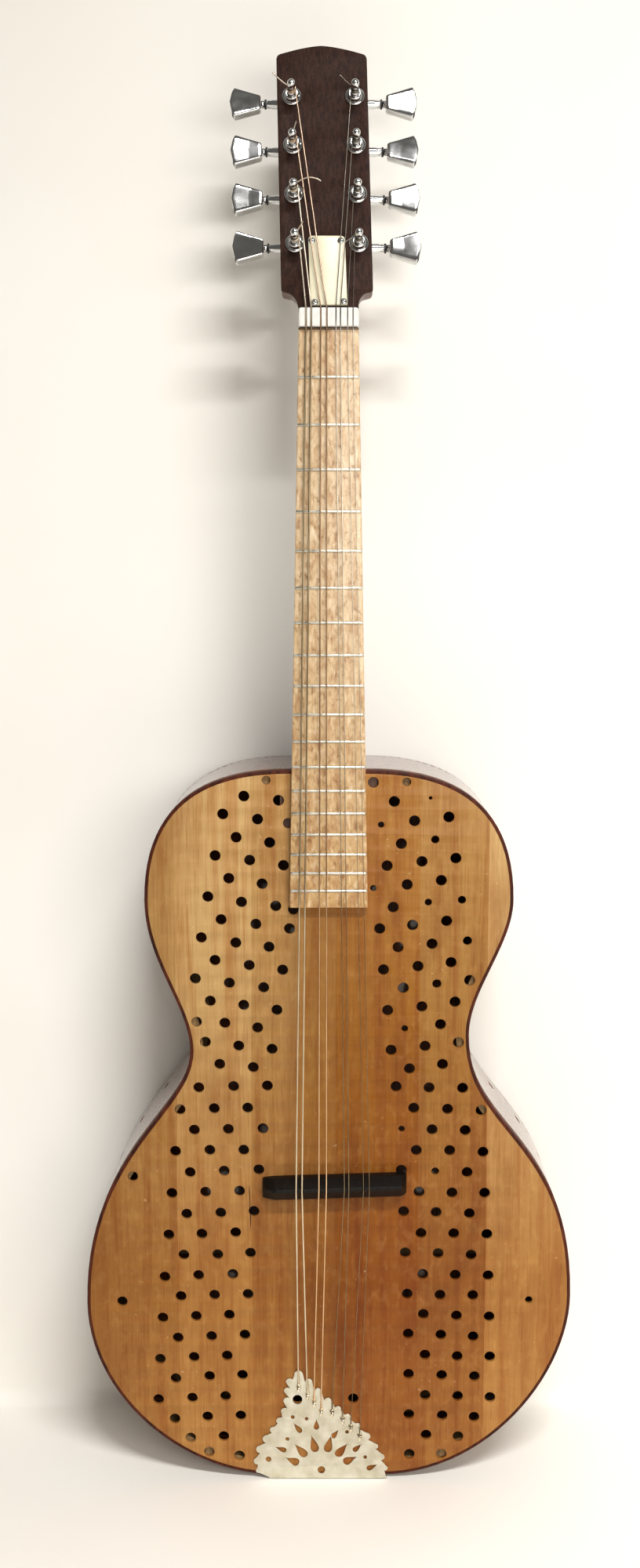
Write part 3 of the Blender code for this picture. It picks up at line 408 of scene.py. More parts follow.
finishes = {
    "soundboard": soundboardVeneer(),
    "maple": maplePale(),
    # dark red-brown mahogany under gloss lacquer: mirrors the pale room at a shallow angle
    "mahogany": wood("gloss_mahogany", "#43200e", "#7a411d", 0.7, 7.0, 0.3, 0.9),
    "core": wood("satin_mahogany", "#43271a", "#63402a", 0.7, 6.0, 0.4, 0.3),
    "binding": wood("rosewood_binding", "#2c110a", "#552413", 0.5, 3.0, 0.5, 0.0, 0.04, 0.15),
    "rosewood": wood("rosewood_veneer", "#22110b", "#3b231a", 0.32, 1.6, 0.6, 0.0, 0.03, 0.15),
    # hand-filed ebony: nearly black, a grey sheen on the facets that face the light
    "ebony": wood("filed_ebony", "#060403", "#100c09", 0.5, 2.5, 0.45, 0.0, 0.05, 0.2),
    # spruce inside the body, kept dark brown as painted shade of the closed body seen through the holes
    "spruce": wood("bare_spruce", "#6d5434", "#8c7148", 1.2, 5.0, 0.7, 0.0),
    "bone": smoothPolymer("polished_bone", "#ebebe9", "#e1dfd9", 0.28, 1.5),
    "celluloid": smoothPolymer("cream_celluloid", "#ebe6cc", "#dfd8bb", 0.3, 6.0),
    "chrome": metal("polished_chrome", "#d2d3d4", "#e6e7e8", 0.07, 0.0, 9.0),
    "nickel": metal("nickel_fret_wire", "#c2c0b5", "#e8e6dc", 0.36),
    "silver": metal("worn_nickel_silver", "#d3ceb9", "#ebe8d9", 0.36, 0.5, 8.0),
    "hook": metal("rubbed_nickel_silver", "#e9dfc6", "#f9f3e4", 0.16),
    "bronze": woundWire("bronze_wound_wire", "#efcba0", "#a98c70", "#cbb29c"),
    "plated": woundWire("plated_wound_wire", "#ebdfc4", "#a19479", "#cfc5b4"),
    "steel": plainWire(),
    "rod": metal("steel_rod", "#5c5c5e", "#88888a", 0.35),
    "washer": smoothPolymer("black_nylon_washer", "#0c0c0d", "#050505", 0.4, 2.0),
}
print("materials made:", len(finishes))


# Body

body = {"top": 282.3, "bottom": 773.3, "topFlat": 26.0, "bottomFlat": 36.0, "steps": 26, "plate": 2.8,
        "boardInset": 2.25, "bindingWidth": 2.2, "bindingHeight": 6.0, "ribWall": 2.5, "ribFront": 12.8,
        "ribBack": 95.4, "back": 98.5}
sideForms = {
    -1: {"upper": (122.0, 369.2), "waist": (92.7, 471.4), "lower": (164.8, 648.5), "topHandle": 36.8,
         "upperHandles": (78.5, 41.5), "waistHandles": (30.5, 41.6), "lowerHandles": (107.3, 66.7), "bottomHandle": 65.5},
    1: {"upper": (122.4, 368.8), "waist": (93.8, 460.6), "lower": (164.9, 643.1), "topHandle": 37.0,
        "upperHandles": (78.2, 30.4), "waistHandles": (30.7, 67.7), "lowerHandles": (113.2, 57.5), "bottomHandle": 73.6},
}


def sideLine(side, inset=0.0):
    # a short flat at the neck, four cubic arcs and a flat at the tail, moved inwards along their normals
    form, top, bottom = sideForms[side], body["top"], body["bottom"]
    upper, waist, lower = (np.array(form[key]) for key in ("upper", "waist", "lower"))
    down = np.array([0.0, 1.0])
    start, end = np.array([body["topFlat"], top]), np.array([body["bottomFlat"], bottom])
    corners = ((start, start + (form["topHandle"], 0), upper - down * form["upperHandles"][0], upper),
               (upper, upper + down * form["upperHandles"][1], waist - down * form["waistHandles"][0], waist),
               (waist, waist + down * form["waistHandles"][1], lower - down * form["lowerHandles"][0], lower),
               (lower, lower + down * form["lowerHandles"][1], end + (form["bottomHandle"], 0), end))
    s = np.linspace(0, 1, body["steps"], endpoint=False)[:, None]
    arcs = [(1 - s)**3 * a + 3 * s * (1 - s)**2 * b + 3 * s**2 * (1 - s) * c + s**3 * e for a, b, c, e in corners]
    line = np.vstack([[(0.0, top)], *arcs, [end, (0.0, bottom)]])
    way = np.gradient(line, axis=0)
    way[0], way[-1] = (1.0, 0.0), (-1.0, 0.0)
    way /= np.linalg.norm(way, axis=1)[:, None]
    line = line + inset * np.stack([-way[:, 1], way[:, 0]], axis=1)
    line[[0, -1], 0] = 0.0
    return line


def bodyLine(inset=0.0):  # once round: down the treble side and up the bass side
    return np.vstack([sideLine(1, inset), sideLine(-1, inset)[1:-1][::-1] * (-1.0, 1.0)])


def soundHoles():
    # rows of three bend with the waist, and odd rows stand half a step further out. In a block the middle of row n
    # is start + n·down, and n·out + n²·bend outwards; a step outwards moves a hole tilt + n·turn down.
    # Each hole found is a centre and a radius
    drill = {"radius": 3.65, "wander": 0.35, "outerMissing": (11, 13, 31, 32), "innerMissing": (0, 2)}
    blocks = (
        {"side": -1, "rows": (0, 14), "start": (33.0, 302.5), "down": 13.77, "out": 2.92, "bend": -0.0556,
         "step": 22.44, "tilt": -3.41, "turn": 0.0575},
        {"side": -1, "rows": (14, 33), "start": (64.0, 496.2), "down": 14.67, "out": 1.733, "bend": -0.033,
         "step": 22.88, "tilt": 0.57, "turn": 0.0355},
        {"side": 1, "rows": (0, 14), "start": (43.2, 303.2), "down": 13.75, "out": 2.449, "bend": -0.0575,
         "step": 22.32, "tilt": -2.49, "turn": -0.0172},
        {"side": 1, "rows": (14, 33), "start": (67.6, 496.7), "down": 14.58, "out": 1.073, "bend": -0.0268,
         "step": 22.36, "tilt": 0.63, "turn": 0.0127})
    # some were drilled smaller and off the rule: side, row, place, x, d, radius
    small = ((1, 0, 1, 66.9, 300.6, 1.2), (1, 1, -1, 34.5, 318.3, 2.1), (1, 2, 1, 70.2, 328.2, 2.7),
             (1, 4, -1, 29.5, 360.7, 2.1), (1, 5, 1, 88.2, 368.6, 2.7), (1, 5, 0, 65.9, 370.2, 2.4),
             (1, 7, 1, 92.1, 396.2, 3.0), (1, 9, 0, 72.0, 425.4, 3.0), (1, 11, -1, 50.8, 456.0, 2.2),
             (1, 16, -1, 49.1, 525.4, 2.1), (1, 18, 0, 72.0, 555.0, 2.6), (-1, 1, -1, -26.6, 317.3, 3.5))
    # single holes away from the rows: x, d, radius
    single = [(-140.8, 647.3, 3.5), (136.5, 646.2, 2.5), (-132.4, 558.6, 3.5), (-88.2, 451.4, 3.5),
              (29.3, 290.3, 3.6), (-23.4, 375.0, 3.5), (-21.6, 717.5, 3.6), (16.9, 717.5, 3.6),
              (-41.1, 288.2, 2.9), (51.4, 288.8, 2.9)]
    odd = {(side, row, place): (x, d, radius) for side, row, place, x, d, radius in small}
    found = list(single)
    for block in blocks:
        for row in range(*block["rows"]):
            n = row - block["rows"][0]
            middle = block["start"][0] + n * block["out"] + n * n * block["bend"]
            for place in (-1, 0, 1):
                wander = chance.uniform(-drill["wander"], drill["wander"], 2)
                if (block["side"], row, place) in odd:
                    found.append(odd[block["side"], row, place])
                    continue
                if (place == 1 and row in drill["outerMissing"]) or (place == -1 and row in drill["innerMissing"]):
                    continue
                step = place + 0.5 * (row % 2)
                drop = (block["tilt"] + n * block["turn"]) * step
                found.append((block["side"] * (middle + step * block["step"]) + wander[0],
                              block["start"][1] + n * block["down"] + drop + wander[1], drill["radius"]))
    # a hole that would run out over the board's edge moves in along the edge's normal: 0.8 mm of wood is left
    found = np.array(found)
    edge = bodyLine(body["boardInset"])
    inwards = bodyLine(body["boardInset"] + 1.0) - edge
    nearest = np.argmin(np.linalg.norm(found[:, None, :2] - edge, axis=2), axis=1)
    gap = np.sum((found[:, :2] - edge[nearest]) * inwards[nearest], axis=1)
    found[:, :2] += inwards[nearest] * np.clip(found[:, 2] + 0.8 - gap, 0, None)[:, None]
    return found


def ribShell(side):
    # the side's bent strip: grid lines run round the body and across its depth, and crowd round each side hole,
    # where squares of the grid are pulled into circles and the cells inside them are left out
    ports = {"along": (494.0, 518.0, 543.0, 570.0), "t": 78.0, "radius": 3.175, "square": 6.6, "parts": 6}
    line = sideLine(side)
    length = np.concatenate([[0], np.cumsum(np.linalg.norm(np.diff(line, axis=0), axis=1))])
    centres = np.interp(ports["along"], line[:, 1], length)
    near = np.arange(-ports["parts"], ports["parts"] + 1) / ports["parts"] * ports["square"]

    def crowded(plain, middles):
        kept = plain[np.all(np.abs(plain[:, None] - middles) > ports["square"] + 1.0, axis=1)]
        return np.sort(np.concatenate([kept, (middles[:, None] + near).ravel()]))

    u = crowded(np.linspace(0.15, length[-1] - 0.15, 120), centres)
    v = crowded(np.linspace(body["ribFront"], body["ribBack"], 12), np.array([ports["t"]]))
    a, b = np.meshgrid(u, v, indexing="ij")
    hole = np.argmin(np.abs(u[:, None] - centres), axis=1)
    x = (a - centres[hole][:, None]) / ports["square"]
    y = (b - ports["t"]) / ports["square"]
    ring = np.maximum(np.abs(x), np.abs(y))
    share = np.clip((ring - 1 / 3) * 1.5, 0, 1)
    inside = ring < 1.001
    away = np.hypot(x, y) + 1e-9
    rounded = ports["radius"] + share * (ports["square"] - ports["radius"])
    a = np.where(inside, centres[hole][:, None] + (1 - share) * rounded * x / away + share * ports["square"] * x, a)
    b = np.where(inside, ports["t"] + (1 - share) * rounded * y / away + share * ports["square"] * y, b)
    points = at(side * np.interp(a, length, line[:, 0]), np.interp(a, length, line[:, 1]), b).reshape(-1, 3)
    faces = np.array(gridFaces(len(u), len(v), wrap=False))
    open_ = np.all(ring.ravel()[faces] < 1 / 3 + 1e-6, axis=1)
    faces = faces[~open_]
    return points, (faces if side < 0 else faces[:, ::-1]).tolist()


def makeBody():
    wall = body["plate"]
    drilled = [circleLine(x, -d, r, 22) for x, d, r in soundHoles()]
    outline = bodyLine(body["boardInset"]) * (1, -1)
    shape = plate(outline, drilled, sizes["faceLevel"], sizes["faceLevel"] + wall,
                  lambda x, y, t: at(x, -y, t), 0.22)
    makePiece("soundboard_plate", shape, finishes["soundboard"], instead=("soundboard",))
    front, deep, wide = sizes["faceLevel"], body["bindingHeight"], body["bindingWidth"]
    section = ((0.0, front + deep), (0.0, front + 1.0), (0.15, front + 0.45), (0.5, front + 0.12), (0.95, front),
               (wide, front), (wide, front + deep))
    rings = np.stack([at(*(bodyLine(inset).T), t) for inset, t in section], axis=1)
    makePiece("binding_strip", skin(rings, ring=True), finishes["binding"],
              instead=("top_binding",))
    for name, side in (("rib_bass", -1), ("rib_treble", 1)):
        rib = makePiece(name + "_shell", ribShell(side), finishes["mahogany"], instead=(name,),
                        outward=False)
        thick = rib.modifiers.new("wall", "SOLIDIFY")
        thick.thickness, thick.offset = body["ribWall"] * mm, -1.0
    shape = plate(bodyLine(0.0) * (1, -1), [], body["back"] - wall, body["back"], lambda x, y, t: at(x, -y, t), 0.6)
    makePiece("back_board", shape, finishes["mahogany"], instead=("back_plate",))
    for name, finish in (("top_lining", "spruce"), ("back_lining", "spruce"), ("tail_block", "spruce"),
                         ("neck_block", "core"), ("top_brace_bass", "spruce"), ("top_brace_treble", "spruce"),
                         ("back_brace", "spruce")):
        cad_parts[name].data.materials.clear()
        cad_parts[name].data.materials.append(finishes[finish])
    print("body made")


# Neck, headstock and fingerboard

neck = {"depth": 13.5, "taper": 3.0, "heel": 63.0, "heelDepth": 86.0, "heelEnd": 282.0, "columns": 37}
head = {"half": 29.0, "shoulder": 11.7, "start": 0.9, "length": 168.0, "peak": 6.4, "shift": -0.95,
        "lean": -0.0233, "veneer": 2.4, "coreFront": -2.7, "coreDepth": 13.0, "coveEnd": 28.4}


def boardHalf(d):
    return sizes["nutHalf"] + (sizes["boardEndHalf"] - sizes["nutHalf"]) * np.maximum(d, 0.0) / sizes["boardEnd"]


def headMiddle(v):
    return head["shift"] * np.minimum(v / head["shoulder"], 1.0) + head["lean"] * np.maximum(v - head["shoulder"], 0.0)


def headHalf(v):
    # the coves widen as a quarter of an ellipse from the nut to the shoulders; above them the sides are straight
    rise = np.clip((v - head["start"]) / (head["shoulder"] - head["start"]), 0, 1)
    cove = sizes["nutHalf"] + (head["coveEnd"] - sizes["nutHalf"]) * (1 - np.sqrt(1 - rise**2))
    return np.where(v > head["shoulder"] + 1.0, head["half"], cove)


def archRise(share):  # height of the arched top over its corners, for a share of the half width
    return head["peak"] * (1 - np.abs(share)**1.5)


def headOutline():
    # treble side from the nut: cove, shoulder, straight side, soft corner, arched top; then the same mirrored
    turn = np.linspace(0, np.pi / 2, 14)
    cove = np.stack([sizes["nutHalf"] + (head["coveEnd"] - sizes["nutHalf"]) * (1 - np.cos(turn)),
                     head["start"] + (head["shoulder"] - head["start"]) * np.sin(turn)], axis=1)
    half, top = head["half"], head["length"]
    s = np.linspace(0, 1, 7)[:, None]
    shoulder = (1 - s)**2 * cove[-1] + 2 * s * (1 - s) * (half, head["shoulder"] + 0.1) + s**2 * (half, 13.6)
    end = (half - 3.4, top + archRise((half - 3.4) / half))
    corner = (1 - s)**2 * (half, top - 3.2) + 2 * s * (1 - s) * (half, top + 0.5) + s**2 * end
    share = np.linspace((half - 4.2) / half, 0, 16)[:-1]
    arch = np.stack([share * half, top + archRise(share)], axis=1)
    right = np.vstack([cove, shoulder[1:], corner, arch])
    loop = np.vstack([right, [(0.0, top + head["peak"])], right[::-1] * (-1, 1)])
    return np.stack([headMiddle(loop[:, 1]) + loop[:, 0], loop[:, 1]], axis=1)


def neckRings():
    # half an oval section carried from the heel to the nut, squared into the headstock's section above it:
    # x = half·cos^p, depth = depth·sin^q, where p and q fall from 1 and 0.75 to 0.1 on the headstock
    phi = np.linspace(0, np.pi, neck["columns"])[None]
    cosine, sine = np.cos(phi), np.clip(np.sin(phi), 0, 1)
    share = 1 - np.linspace(0, 1, 22)**1.5
    heelStart = body["top"] - neck["heel"]
    d = np.concatenate([heelStart + share * (neck["heelEnd"] - heelStart), np.linspace(heelStart - 8, -11.2, 20)])[:, None]
    rise = np.clip((d - heelStart) / neck["heel"], 0, 1)
    depth = neck["depth"] + neck["taper"] * np.maximum(d, 0) / body["top"]
    depth = depth + (neck["heelDepth"] - neck["depth"] - neck["taper"]) * rise**2.4
    shaft = at(boardHalf(d) * cosine, d, sizes["faceLevel"] + depth * sine**0.75)
    v = np.concatenate([np.linspace(0.9, 11.7, 10), [12.2, 13.2], np.linspace(20, 160, 12), [163.0, 165.5, 167.0, 167.8]])
    v = v[:, None]
    power = np.interp(v, (0.9, 16.0), (0.7, 0.1))
    trim = np.interp(v, (163.0, 165.5, 167.0, 167.8), (0.0, 0.5, 1.5, 3.2))
    half = headHalf(v) - trim
    x = half * np.sign(cosine) * np.abs(cosine)**power
    arch = np.interp(v, (150.0, 167.8), (0.0, 1.0)) * archRise(x / head["half"])
    back = head["coreFront"] - head["coreDepth"] * sine**np.minimum(power, 0.6)
    return np.vstack([shaft, onHead(headMiddle(v) + x, v + arch, back)])


def makeNeck():
    makePiece("neck_shaft", skin(neckRings()), finishes["core"], instead=("neck",), sharp=50)
    bores = [circleLine(*postPlace(side, k), 4.8, 24) for side in (-1, 1) for k in range(4)]
    shape = plate(headOutline(), bores, -head["veneer"], 0.0, onHead, 0.3)
    makePiece("headstock_face", shape, finishes["rosewood"], instead=("headstock_veneer",))
    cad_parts["truss_rod"].data.materials.clear()
    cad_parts["truss_rod"].data.materials.append(finishes["rod"])
    cover = {"foot": (-11.45, 11.85), "top": (-13.0, 10.3), "v": (1.3, 46.6), "n": (0.3, 2.3)}
    corners = [(cover["foot"][0], cover["v"][0]), (cover["foot"][1], cover["v"][0]),
               (cover["top"][1], cover["v"][1]), (cover["top"][0], cover["v"][1])]
    outline = softCorners(corners, (0.5, 0.5, 3.0, 3.0), 7)
    makePiece("rod_cover_plate", plate(outline, [], *cover["n"], onHead, 0.4), finishes["celluloid"],
              instead=("rod_cover",))
    screws = {"places": ((-10.6, 43.2), (7.6, 43.2), (-8.8, 2.9), (9.4, 3.4)), "radius": 2.1, "n": 2.3}
    out = onHead(0, 0, 1) - onHead(0, 0, 0)
    shapes = []
    for x, v in screws["places"]:
        dome = [(0.0, -0.2), (screws["radius"], -0.2), (screws["radius"], 0.2), (1.75, 0.62), (0.95, 0.86), (0.7, 0.9),
                (0.6, 0.35), (0.0, 0.3)]
        shapes.append(turned(dome, onHead(x, v, screws["n"]), out / mm, (1, 0, 0), 24))
    makePiece("rod_cover_screws", joined(shapes), finishes["chrome"])
    print("neck made")


def makeFingerboard():
    # the board's section with eased edges, carried along its taper
    edge = np.array([(0.0, 6.2), (0.0, 1.0), (0.12, 0.5), (0.5, 0.12), (1.0, 0.0)])
    d = np.array([0.8, 1.0, *np.linspace(20, 360, 12), 372.3, 372.64])
    ease = np.array([0.3, *np.zeros(len(d) - 2), 0.3])
    half = boardHalf(d)[:, None] - ease[:, None]
    right = half - edge[:, 0]
    x = np.hstack([right, -right[:, ::-1]])
    t = np.tile(np.concatenate([edge[:, 1], edge[::-1, 1]]), (len(d), 1))
    t = np.where(t < 3.0, t + ease[:, None], t)
    makePiece("maple_board", skin(at(x, d[:, None], t)), finishes["maple"], instead=("fingerboard",))
    # a fret is a half ellipse 1.9 wide and 1.0 high, carried across and filed down at both ends
    fret = {"half": 0.95, "height": 1.0, "inset": 0.3}
    turn = np.linspace(0, np.pi, 9)
    shapes = []
    for number in range(1, sizes["frets"] + 1):
        middle = sizes["scale"] * (1 - 2**(-number / 12))
        reach = boardHalf(middle) - fret["inset"]
        across = np.array([-1.0, -0.985, -0.96, 0.0, 0.96, 0.985, 1.0])[:, None] * reach
        high = np.array([0.25, 0.75, 1.0, 1.0, 1.0, 0.75, 0.25])[:, None]
        rings = at(across, middle + fret["half"] * np.cos(turn), 0.05 - (fret["height"] + 0.05) * high * np.sin(turn))
        shapes.append(skin(rings))
    makePiece("fret_wires", joined(shapes), finishes["nickel"], sharp=50)
    print("fingerboard made")


strings = (
    {"size": 1.10, "nut": -14.3, "bridge": -21.7, "tail": (-20.7, 708.5), "post": (-1, 0)},
    {"size": 1.10, "nut": -11.0, "bridge": -17.8, "tail": (-14.6, 713.6), "post": (-1, 1)},
    {"size": 0.86, "nut": -5.0, "bridge": -6.5, "tail": (-10.1, 719.2), "post": (-1, 2)},
    {"size": 0.86, "nut": -1.2, "bridge": -1.5, "tail": (-5.2, 725.6), "post": (-1, 3)},
    {"size": 0.60, "nut": 4.6, "bridge": 10.5, "tail": (2.4, 726.3), "post": (1, 3)},
    {"size": 0.60, "nut": 7.4, "bridge": 13.5, "tail": (9.6, 731.6), "post": (1, 2)},
    {"size": 0.44, "nut": 11.9, "bridge": 23.3, "tail": (15.3, 737.2), "post": (1, 1)},
    {"size": 0.44, "nut": 15.3, "bridge": 27.2, "tail": (21.4, 743.6), "post": (1, 0)},
)
tuner = {"first": 42.4, "pitch": 32.6, "spread": 20.1, "shift": 0.5, "shaftUp": 6.0, "shaftLevel": -21.0,
         "waist": 2.05, "waistFoot": 7.2,
         "leans": {-1: (0.07, 0.0, -0.01, -0.08), 1: (0.0, -0.015, -0.08, 0.0)}}


def postPlace(side, number):
    v = tuner["first"] + tuner["pitch"] * number
    return head["shift"] + head["lean"] * (v - head["shoulder"]) + tuner["shift"] + side * tuner["spread"], v


def makeNut():
    # the front view of the block: rounded shoulders and eight round-bottomed grooves, carried along the neck
    nut = {"half": 19.0, "top": -3.4, "foot": 6.2, "round": 1.2, "rest": -1.3}
    x = np.linspace(-nut["half"], nut["half"], 420)
    shoulder = np.clip(np.abs(x) - nut["half"] + nut["round"], 0, None)
    t = nut["top"] + nut["round"] - np.sqrt(np.clip(nut["round"]**2 - shoulder**2, 0, None))
    for one in strings:
        wide = one["size"] / 2 + 0.12
        groove = nut["rest"] - (wide - np.sqrt(np.clip(wide**2 - (x - one["nut"])**2, 0, None)))
        t = np.where(np.abs(x - one["nut"]) < wide, np.maximum(t, groove), t)
    d = np.array([-11.0, -10.9, -10.6, -10.1, -5.0, 0.0, 0.3, 0.45, 0.5])[:, None]
    drop = np.array([0.9, 0.45, 0.15, 0.0, 0.0, 0.0, 0.1, 0.3, 0.6])[:, None]
    # beyond 17 mm from the middle the rows are drawn in towards both faces, which rounds the four corners
    ease = np.array([1.3, 1.1, 0.7, 0.35, 0.0, 0.1, 0.4, 0.8, 1.1])[:, None]
    side = np.abs(x) - 17.0
    drawn = np.where(side > 0, np.sign(x) * (17.0 + side * (1 - ease / 2)), x)
    top = at(drawn, d, t + drop)
    foot = at(np.array([1.0, -1.0]) * (nut["half"] - ease), d, nut["foot"])
    makePiece("bone_nut", skin(np.concatenate([top, foot], axis=1)), finishes["bone"], instead=("nut",))


def makeBridge():
    # a ridged section with softened edges, turned a little across the board, lower and shorter at both ends
    bridge = {"left": -44.4, "right": 52.4, "ridge": 562.8, "slant": math.tan(math.radians(1.8)), "base": 6.2,
              "top": -8.0, "notch": 0.6}
    section = softCorners([(-6.2, 0.0), (-6.0, 5.7), (-1.0, 14.2), (1.0, 14.2), (8.9, 5.7), (9.2, 0.0)],
                          (0.3, 0.35, 0.25, 0.25, 0.4, 0.3), 4)
    x = np.concatenate([[-44.4, -44.2, -43.4, -37.2, -36.2, -35.0], np.arange(-34.0, 46.0, 0.4),
                        [47.0, 48.0, 49.0, 51.6, 52.2, 52.4]])[:, None]
    high = np.interp(x, (-44.4, -44.2, -43.4, -37.2, -36.2, -35.0, 47.0, 48.0, 49.0, 51.6, 52.2, 52.4),
                     (0.3, 0.42, 0.5, 0.95, 0.99, 1.0, 1.0, 0.99, 0.96, 0.55, 0.46, 0.35))
    wide = np.interp(x, (-44.4, -44.0, -36.0, 49.0, 52.0, 52.4), (0.84, 0.9, 1.0, 1.0, 0.93, 0.86))
    middle = bridge["ridge"] - bridge["slant"] * (x - 4.0)
    away, up = section[:, 0][None] * wide, section[:, 1][None] * high
    dent = np.zeros_like(x)
    for one in strings:
        dent = np.maximum(dent, bridge["notch"] * np.clip(1.3 - np.abs(x - one["bridge"]) / (one["size"] * 0.75), 0, 1))
    up = np.minimum(up, 14.2 - dent)
    hand = 0.06 * np.sin(x * 0.9) * np.cos(x * 0.23 + 1.0)
    rings = at(x, middle + away + hand, bridge["base"] - up)
    makePiece("ebony_bridge", skin(rings), finishes["ebony"], instead=("bridge",), sharp=28)


def makeTailpiece():
    # pierced sheet: its two slopes and its left corner run in round lobes of different widths, and a fan of
    # teardrops, a row of almonds and some dots are cut through it
    sheet = {"front": 5.0, "back": 6.2, "foot": 775.05, "left": -51.9, "right": 40.5}
    lobes = ((38.9, 767.6, 1.9), (36.3, 759.4, 2.3), (32.2, 751.6, 2.0), (26.2, 744.3, 2.6), (19.6, 737.0, 2.4),
             (12.8, 730.4, 2.5), (6.4, 724.4, 2.2), (-0.6, 718.7, 2.6), (-7.4, 711.6, 2.5), (-13.6, 704.8, 2.5),
             (-20.6, 699.4, 3.0), (-26.9, 704.4, 2.4), (-28.4, 711.0, 2.3), (-28.6, 718.4, 2.5), (-30.2, 726.0, 2.6),
             (-33.4, 733.0, 2.7), (-38.2, 739.6, 2.3), (-42.6, 746.2, 2.9), (-47.2, 753.8, 2.8), (-49.2, 762.4, 2.6),
             (-48.6, 769.4, 1.7))
    # a lobe is the outer half of a circle; two neighbouring lobes are joined by a straight line
    middle = np.array([-6.0, 752.0])
    edge = [np.array([(sheet["right"] - 0.4, 774.9)])]
    for x, d, radius in lobes:
        away = math.atan2(d - middle[1], x - middle[0])
        turn = away + np.radians(np.linspace(84, -84, 13))
        edge.append(np.stack([x + radius * np.cos(turn), d + radius * np.sin(turn)], axis=1))
    edge.append(np.array([(sheet["left"] + 10.4, sheet["foot"] - 1.0), (sheet["left"] + 11.2, sheet["foot"]),
                          (sheet["right"] - 0.4, sheet["foot"])]))
    outline = np.vstack(edge) * (1, -1)

    def drop(x, d, lean, long, wide):
        # a teardrop: its width goes with sin·(1 − cos), so that one end is round and the other is a point
        s = np.linspace(0, 2 * np.pi, 20, endpoint=False)
        a, b = long / 2 * np.cos(s), wide * 0.77 * np.sin(s) * (1 - np.cos(s)) / 2
        turned_ = math.radians(lean)
        return np.stack([x + a * math.sin(turned_) + b * math.cos(turned_),
                         -(d - a * math.cos(turned_) + b * math.sin(turned_))], axis=1)

    holes = [circleLine(-21.4, -717.4, 3.3)]
    for lean, long in ((-66, 10.0), (-41, 12.0), (-14, 12.5), (14, 12.5), (40, 12.0), (64, 10.0)):
        turned_ = math.radians(lean)
        holes.append(drop(-5.0 + 22 * math.sin(turned_), 771.0 - 22 * math.cos(turned_), lean, long, 5.6))
    for x, d, lean, long in ((-33.0, 753.5, -70, 8.0), (-21.5, 738.0, -38, 8.5), (-8.4, 735.6, 0, 7.5), (4.5, 742.5, 38, 7.5),
                             (19.8, 752.6, 48, 7.5), (30.0, 766.6, 66, 8.0)):
        holes.append(drop(x, d, lean, long, 3.6))
    holes += [circleLine(x, -d, radius, 14) for x, d, radius in (
        (-41.5, 761.0, 1.9), (-5.0, 768.8, 2.6), (-24.8, 730.2, 1.3), (-28.4, 746.2, 1.3), (-15.2, 731.4, 1.2),
        (12.6, 741.0, 1.2), (25.2, 759.4, 1.2))]
    shape = plate(outline, holes, sheet["front"], sheet["back"], lambda x, y, t: at(x, -y, t), 0.22)
    makePiece("pierced_sheet", shape, finishes["silver"], instead=("tailpiece",))
    apron = softCorners([(-40.0, 5.4), (40.0, 5.4), (40.0, 35.0), (-40.0, 35.0)], (0.4, 0.4, 4.0, 4.0), 7)
    shape = plate(apron, [], 773.95, 775.05, lambda x, y, d: at(x, d, y), 0.2)
    makePiece("folded_apron", shape, finishes["silver"])
    # each hook is a tongue raised from the sheet and curled back towards the tail
    turn = np.radians(np.linspace(-50, 170, 14))
    shapes = []
    for one in strings:
        x, d = one["tail"]
        path = at(x, d + 1.6 - 1.9 * np.cos(turn), 4.6 - 1.1 * np.sin(turn))
        thick = np.interp(np.linspace(0, 1, 14), (0, 0.7, 0.9, 1.0), (1.3, 1.2, 0.9, 0.4))
        shapes.append(tube(path, thick, 10, (1, 0, 0)))
    makePiece("tail_hooks", joined(shapes), finishes["hook"])
    print("tailpiece made")


def stringPath(one):
    # hook, ridge and nut, then turns up the post's waist that end at its eye
    radius = one["size"] / 2
    (side, number), (tailX, tailD) = one["post"], one["tail"]
    x, v = postPlace(side, number)
    ridge = 562.8 - math.tan(math.radians(1.8)) * (one["bridge"] - 4.0)
    marks = np.array([at(tailX, tailD - 1.9, 4.3 - radius), at(one["bridge"], ridge, -7.5 - radius),
                      at(one["nut"], 1.0, -1.35 - radius), at(one["nut"], -11.5, -1.35 - radius)])
    turns = {1.10: 2.5, 0.86: 3.5, 0.60: 4.5, 0.44: 5.5}[one["size"]]
    wrap = np.linspace(0, 2 * np.pi * turns, int(24 * turns))
    reach = tuner["waist"] + radius
    coil = onHead(x - side * reach * np.cos(wrap), v + reach * np.sin(wrap),
                  tuner["waistFoot"] + radius + one["size"] * 1.06 * wrap / (2 * np.pi))
    pieces = [marks[0] + np.linspace(0, 1, 12, endpoint=False)[:, None] * (marks[1] - marks[0]),
              marks[1] + np.linspace(0, 1, 40, endpoint=False)[:, None] * (marks[2] - marks[1]),
              marks[2] + np.linspace(0, 1, 3, endpoint=False)[:, None] * (marks[3] - marks[2]),
              marks[3] + np.linspace(0, 1, 12, endpoint=False)[:, None] * (coil[0] - marks[3]), coil]
    return np.vstack(pieces)


